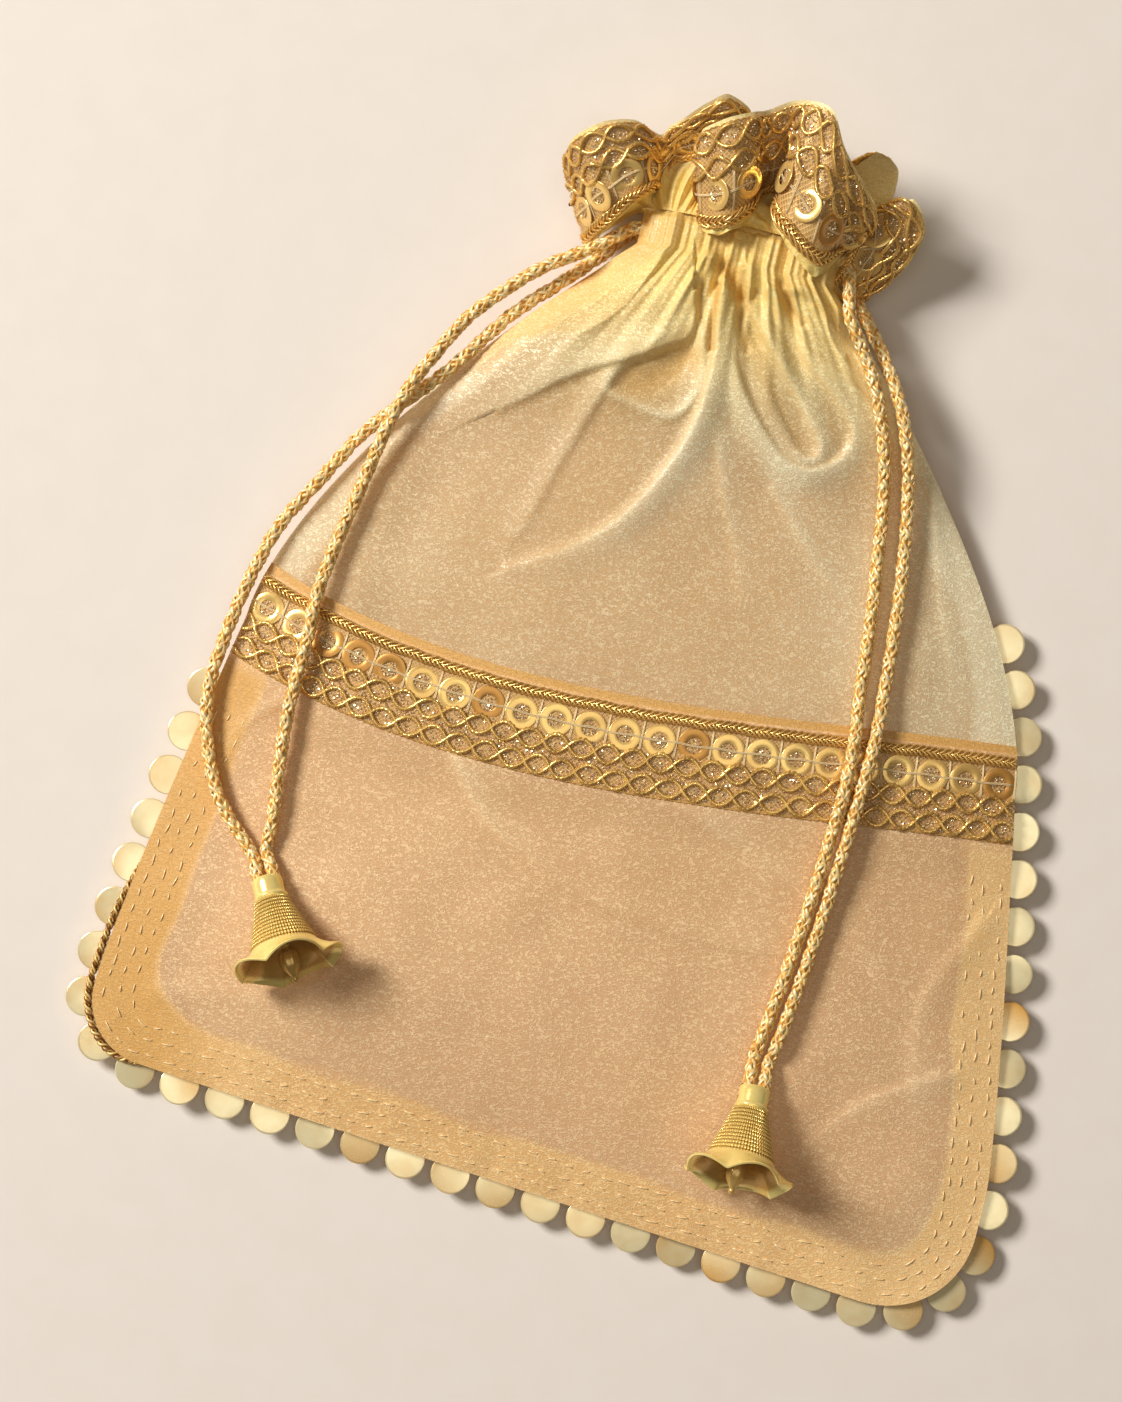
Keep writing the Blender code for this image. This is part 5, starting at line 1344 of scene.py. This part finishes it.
def build_bells(cast, made):
    """Bells and clappers, with shades for the ribs and grooves of the cone and for the painted shade inside."""
    rows = bell_rows()
    skin = bell_skin(rows)
    number = np.arange(len(rows))
    cone = (number >= CONE_START) & (number < CONE_START + CONE_RINGS * RING_ROWS)
    groove = 1 - np.abs(np.sin(math.pi * (number - CONE_START + 1) / RING_ROWS))
    rings = {"ribbed": cone * 1.0, "groove": cone * groove, "inside": (number > LAST_OUTSIDE) * 1.0}
    shades = {key: np.repeat(numbers, skin.shape[1]) for key, numbers in rings.items()}
    uv = np.stack(np.meshgrid(np.linspace(0, 1, skin.shape[1]), np.linspace(0, 1, len(rows))), axis=-1)
    faces = grid_faces(len(rows), skin.shape[1], around=True)
    clapper_points, clapper_faces = clapper_shape()
    plain = {"shine": 0.45, "ribbed": 0.0, "groove": 0.0, "inside": 0.0}
    for side in BELLS:
        top, turn = bell_frame(side)
        bell = add_piece(
            f"bell_{side}_cast", skin.reshape(-1, 3) @ turn + top, faces, cast, "cast_gold", uv=uv,
            shades={**shades, "shine": 1.0}, crease=60, weld=True, stands_for=[f"bell_{side}"],
        )
        clapper = add_piece(
            f"clapper_{side}_cast", clapper_points @ turn + top, clapper_faces, cast, "cast_gold",
            body=f"clapper_{side}", uv=np.zeros((len(clapper_points), 2)), shades=plain, crease=60, weld=True,
            stands_for=[f"clapper_{side}"],
        )
        for upper in (True, False):
            cord, path = made[side, upper]
            tuple(path[0] * MM)
            run_along(path)[-1] * MM
            (path[::4] * MM).tolist()


def cast_gold():
    """Cast gold: fine ribs down the bell where the attribute ribbed asks for them, painted shade inside it in a deeper
    amber, and darker tone in the clouds of the casting."""
    f = Finish("cast_gold")
    ribs = (f.lay("X") * (TURN * 64)).sine()
    ribbed, groove, inside, shine = (f.shade(key) for key in ("ribbed", "groove", "inside", "shine"))
    cloud, grain = f.noise(230.0, 4.0), f.noise(1500.0, 2.0)
    cut = ribs.step(-0.7, 0.5) * ribbed + (1.0 - ribbed)
    tone = f.mix(cut, colour(252, 200, 94), colour(255, 234, 148))
    tone = f.mix(cloud.step(0.4, 0.75) * 0.25, tone, colour(244, 184, 74))
    tone = f.mix(groove.step(0.35, 0.95) * 0.62, tone, colour(136, 82, 16))
    # Painted shade inside the bell; pieces of lower shine, the clappers, are darker as well.
    tone = f.mix((inside * 0.7).most(1.0 - shine), tone, colour(176, 112, 28))
    return f.surface(
        Base_Color=tone, Metallic=0.34, Roughness=0.20 + (grain - 0.5) * 0.12 + inside * 0.1,
        Normal=f.bump(ribs * ribbed + grain * 0.25, 0.14, 0.9),
    )


def lace_net():
    """The net under the lace: threads on a fine slanting lattice with open cells between them, in the piece's own
    millimetres, and a metallic sheen."""
    f = Finish("lace_net")
    s, t = f.lay("X"), f.lay("Y")
    one = ((s + t) * (TURN / 1.1)).sine()
    other = ((s - t) * (TURN / 1.1)).sine()
    lattice = one.most(other).step(0.35, 0.85)
    cloud = f.noise(300.0, 3.0)
    tone = f.mix(cloud.step(0.3, 0.7), colour(192, 146, 84), colour(242, 202, 138))
    tone = f.mix(lattice, tone, colour(236, 192, 122))
    return f.surface(
        Base_Color=tone, Metallic=0.25, Roughness=0.42, Alpha=0.50 + lattice * 0.42,
        Normal=f.bump(lattice + cloud * 0.4, 0.15, 0.8),
    )


def stage_and_light():
    """A pale floor just under the bag, a key lamp low on the left, a weak one above, and the camera overhead."""
    f = Finish("studio_floor")
    grain = f.noise(90.0, 5.0)
    tone = f.mix(grain.step(0.3, 0.7) * 0.5, colour(236, 228, 218), colour(233, 224, 213))
    floor_finish = f.surface(Base_Color=tone, Roughness=0.85, Normal=f.bump(grain, 0.05, 0.3))
    mesh = bpy.data.meshes.new("studio_floor")
    mesh.from_pydata([(x, y, FLOOR_Z) for x, y in ((-4, -4), (4, -4), (4, 4), (-4, 4))], [], [(0, 1, 2, 3)])
    mesh.materials.append(floor_finish)
    floor = bpy.data.objects.new("studio_floor", mesh)
    bpy.context.scene.collection.objects.link(floor)

    world = bpy.data.worlds.new("studio")
    world.use_nodes = True
    sky = world.node_tree.nodes["Background"].inputs
    sky["Color"].default_value = SKY_TINT
    sky["Strength"].default_value = SKY_STRENGTH
    bpy.context.scene.world = world
    for name, ((x, y, z), size, power, tint) in LAMPS.items():
        lamp = bpy.data.lights.new(name, "AREA")
        lamp.shape = "SQUARE"
        lamp.size = size
        lamp.energy = power
        lamp.color = tint
        holder = bpy.data.objects.new(name, lamp)
        holder.location = (x, y, z)
        holder.rotation_euler = (math.atan2(math.hypot(x, y), z), 0, math.atan2(-y, -x) - math.pi / 2)
        bpy.context.scene.collection.objects.link(holder)

    camera = bpy.data.cameras.new("view")
    camera.lens = 85
    camera.sensor_width = 36
    camera.clip_start = 0.01
    holder = bpy.data.objects.new("view", camera)
    holder.location = (VIEW_X * MM, VIEW_Y * MM, VIEW_HEIGHT * MM)
    holder.rotation_euler = (0, 0, math.radians(VIEW_TURN))
    bpy.context.scene.collection.objects.link(holder)
    bpy.context.scene.camera = holder
    bpy.context.scene.view_settings.view_transform = "Standard"


def build_all():
    """Every finish and piece, in the order that the random draws follow."""
    orange = colour(255, 200, 116)
    yellow = organza("yellow_organza", colour(244, 208, 152), colour(255, 242, 202), orange, 0.54)
    peach = organza("peach_organza", colour(252, 206, 154), colour(255, 226, 178), orange, 0.72)
    hem = organza("organza_hem", colour(255, 206, 130), colour(255, 218, 146), orange, 0.94)
    frill = organza("frill_organza", colour(255, 228, 150), colour(255, 244, 196), orange, 0.82)
    # The paillettes' dark tone is where their painted reflection is dim.
    disc_gold = metal("gold_paillette", colour(255, 242, 194), colour(222, 168, 84), 0.20, depth=0.003, shiny=0.36)
    ring_gold = metal("gold_ring", colour(255, 218, 134), colour(200, 142, 66), 0.22, depth=0.005, shiny=0.48)
    wire_gold = metal(
        "gold_wire", colour(255, 210, 122), colour(140, 84, 26), 0.22, grain=2400.0, depth=0.04, shiny=0.60
    )
    glitter_gold = metal("gold_glitter", colour(255, 244, 214), colour(222, 176, 108), 0.2, shiny=0.75)
    # Yarn and thread: the light colour is a painted highlight on the fibres, the dark one painted shade between them.
    yarn = metallic_yarn("gold_yarn", colour(255, 226, 142), colour(255, 248, 216), colour(230, 162, 68), 2.0, 0.22)
    twist = metallic_yarn("gold_twist", colour(214, 160, 76), colour(252, 226, 156), colour(110, 70, 24), 2.0, 0.3)
    thread = metallic_yarn(
        "cream_thread", colour(255, 236, 188), colour(255, 248, 220), colour(232, 196, 132), 1.0, 0.1
    )
    cast = cast_gold()
    lace = (lace_net(), ring_gold, wire_gold, glitter_gold, thread)

    stage_and_light()
    cords = build_cords(yarn)
    build_body(yellow, peach, hem)
    build_trim(disc_gold, twist, thread)
    net, goods = build_lace("band", band_cloth(), lace, (2, 3, 4, 7, 13, 22, 23), ["front_lace_band"])
    build_neck(frill)
    cloth = build_frill(frill)
    net, goods = build_lace("mouth", cloth, lace, (12, 16), ["mouth_lace"])
    build_bells(cast, cords)
    for side in BELLS:
        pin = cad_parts[f"cross_pin_{side}"]
        pin.data.materials.clear()
        pin.data.materials.append(wire_gold)


build_all()
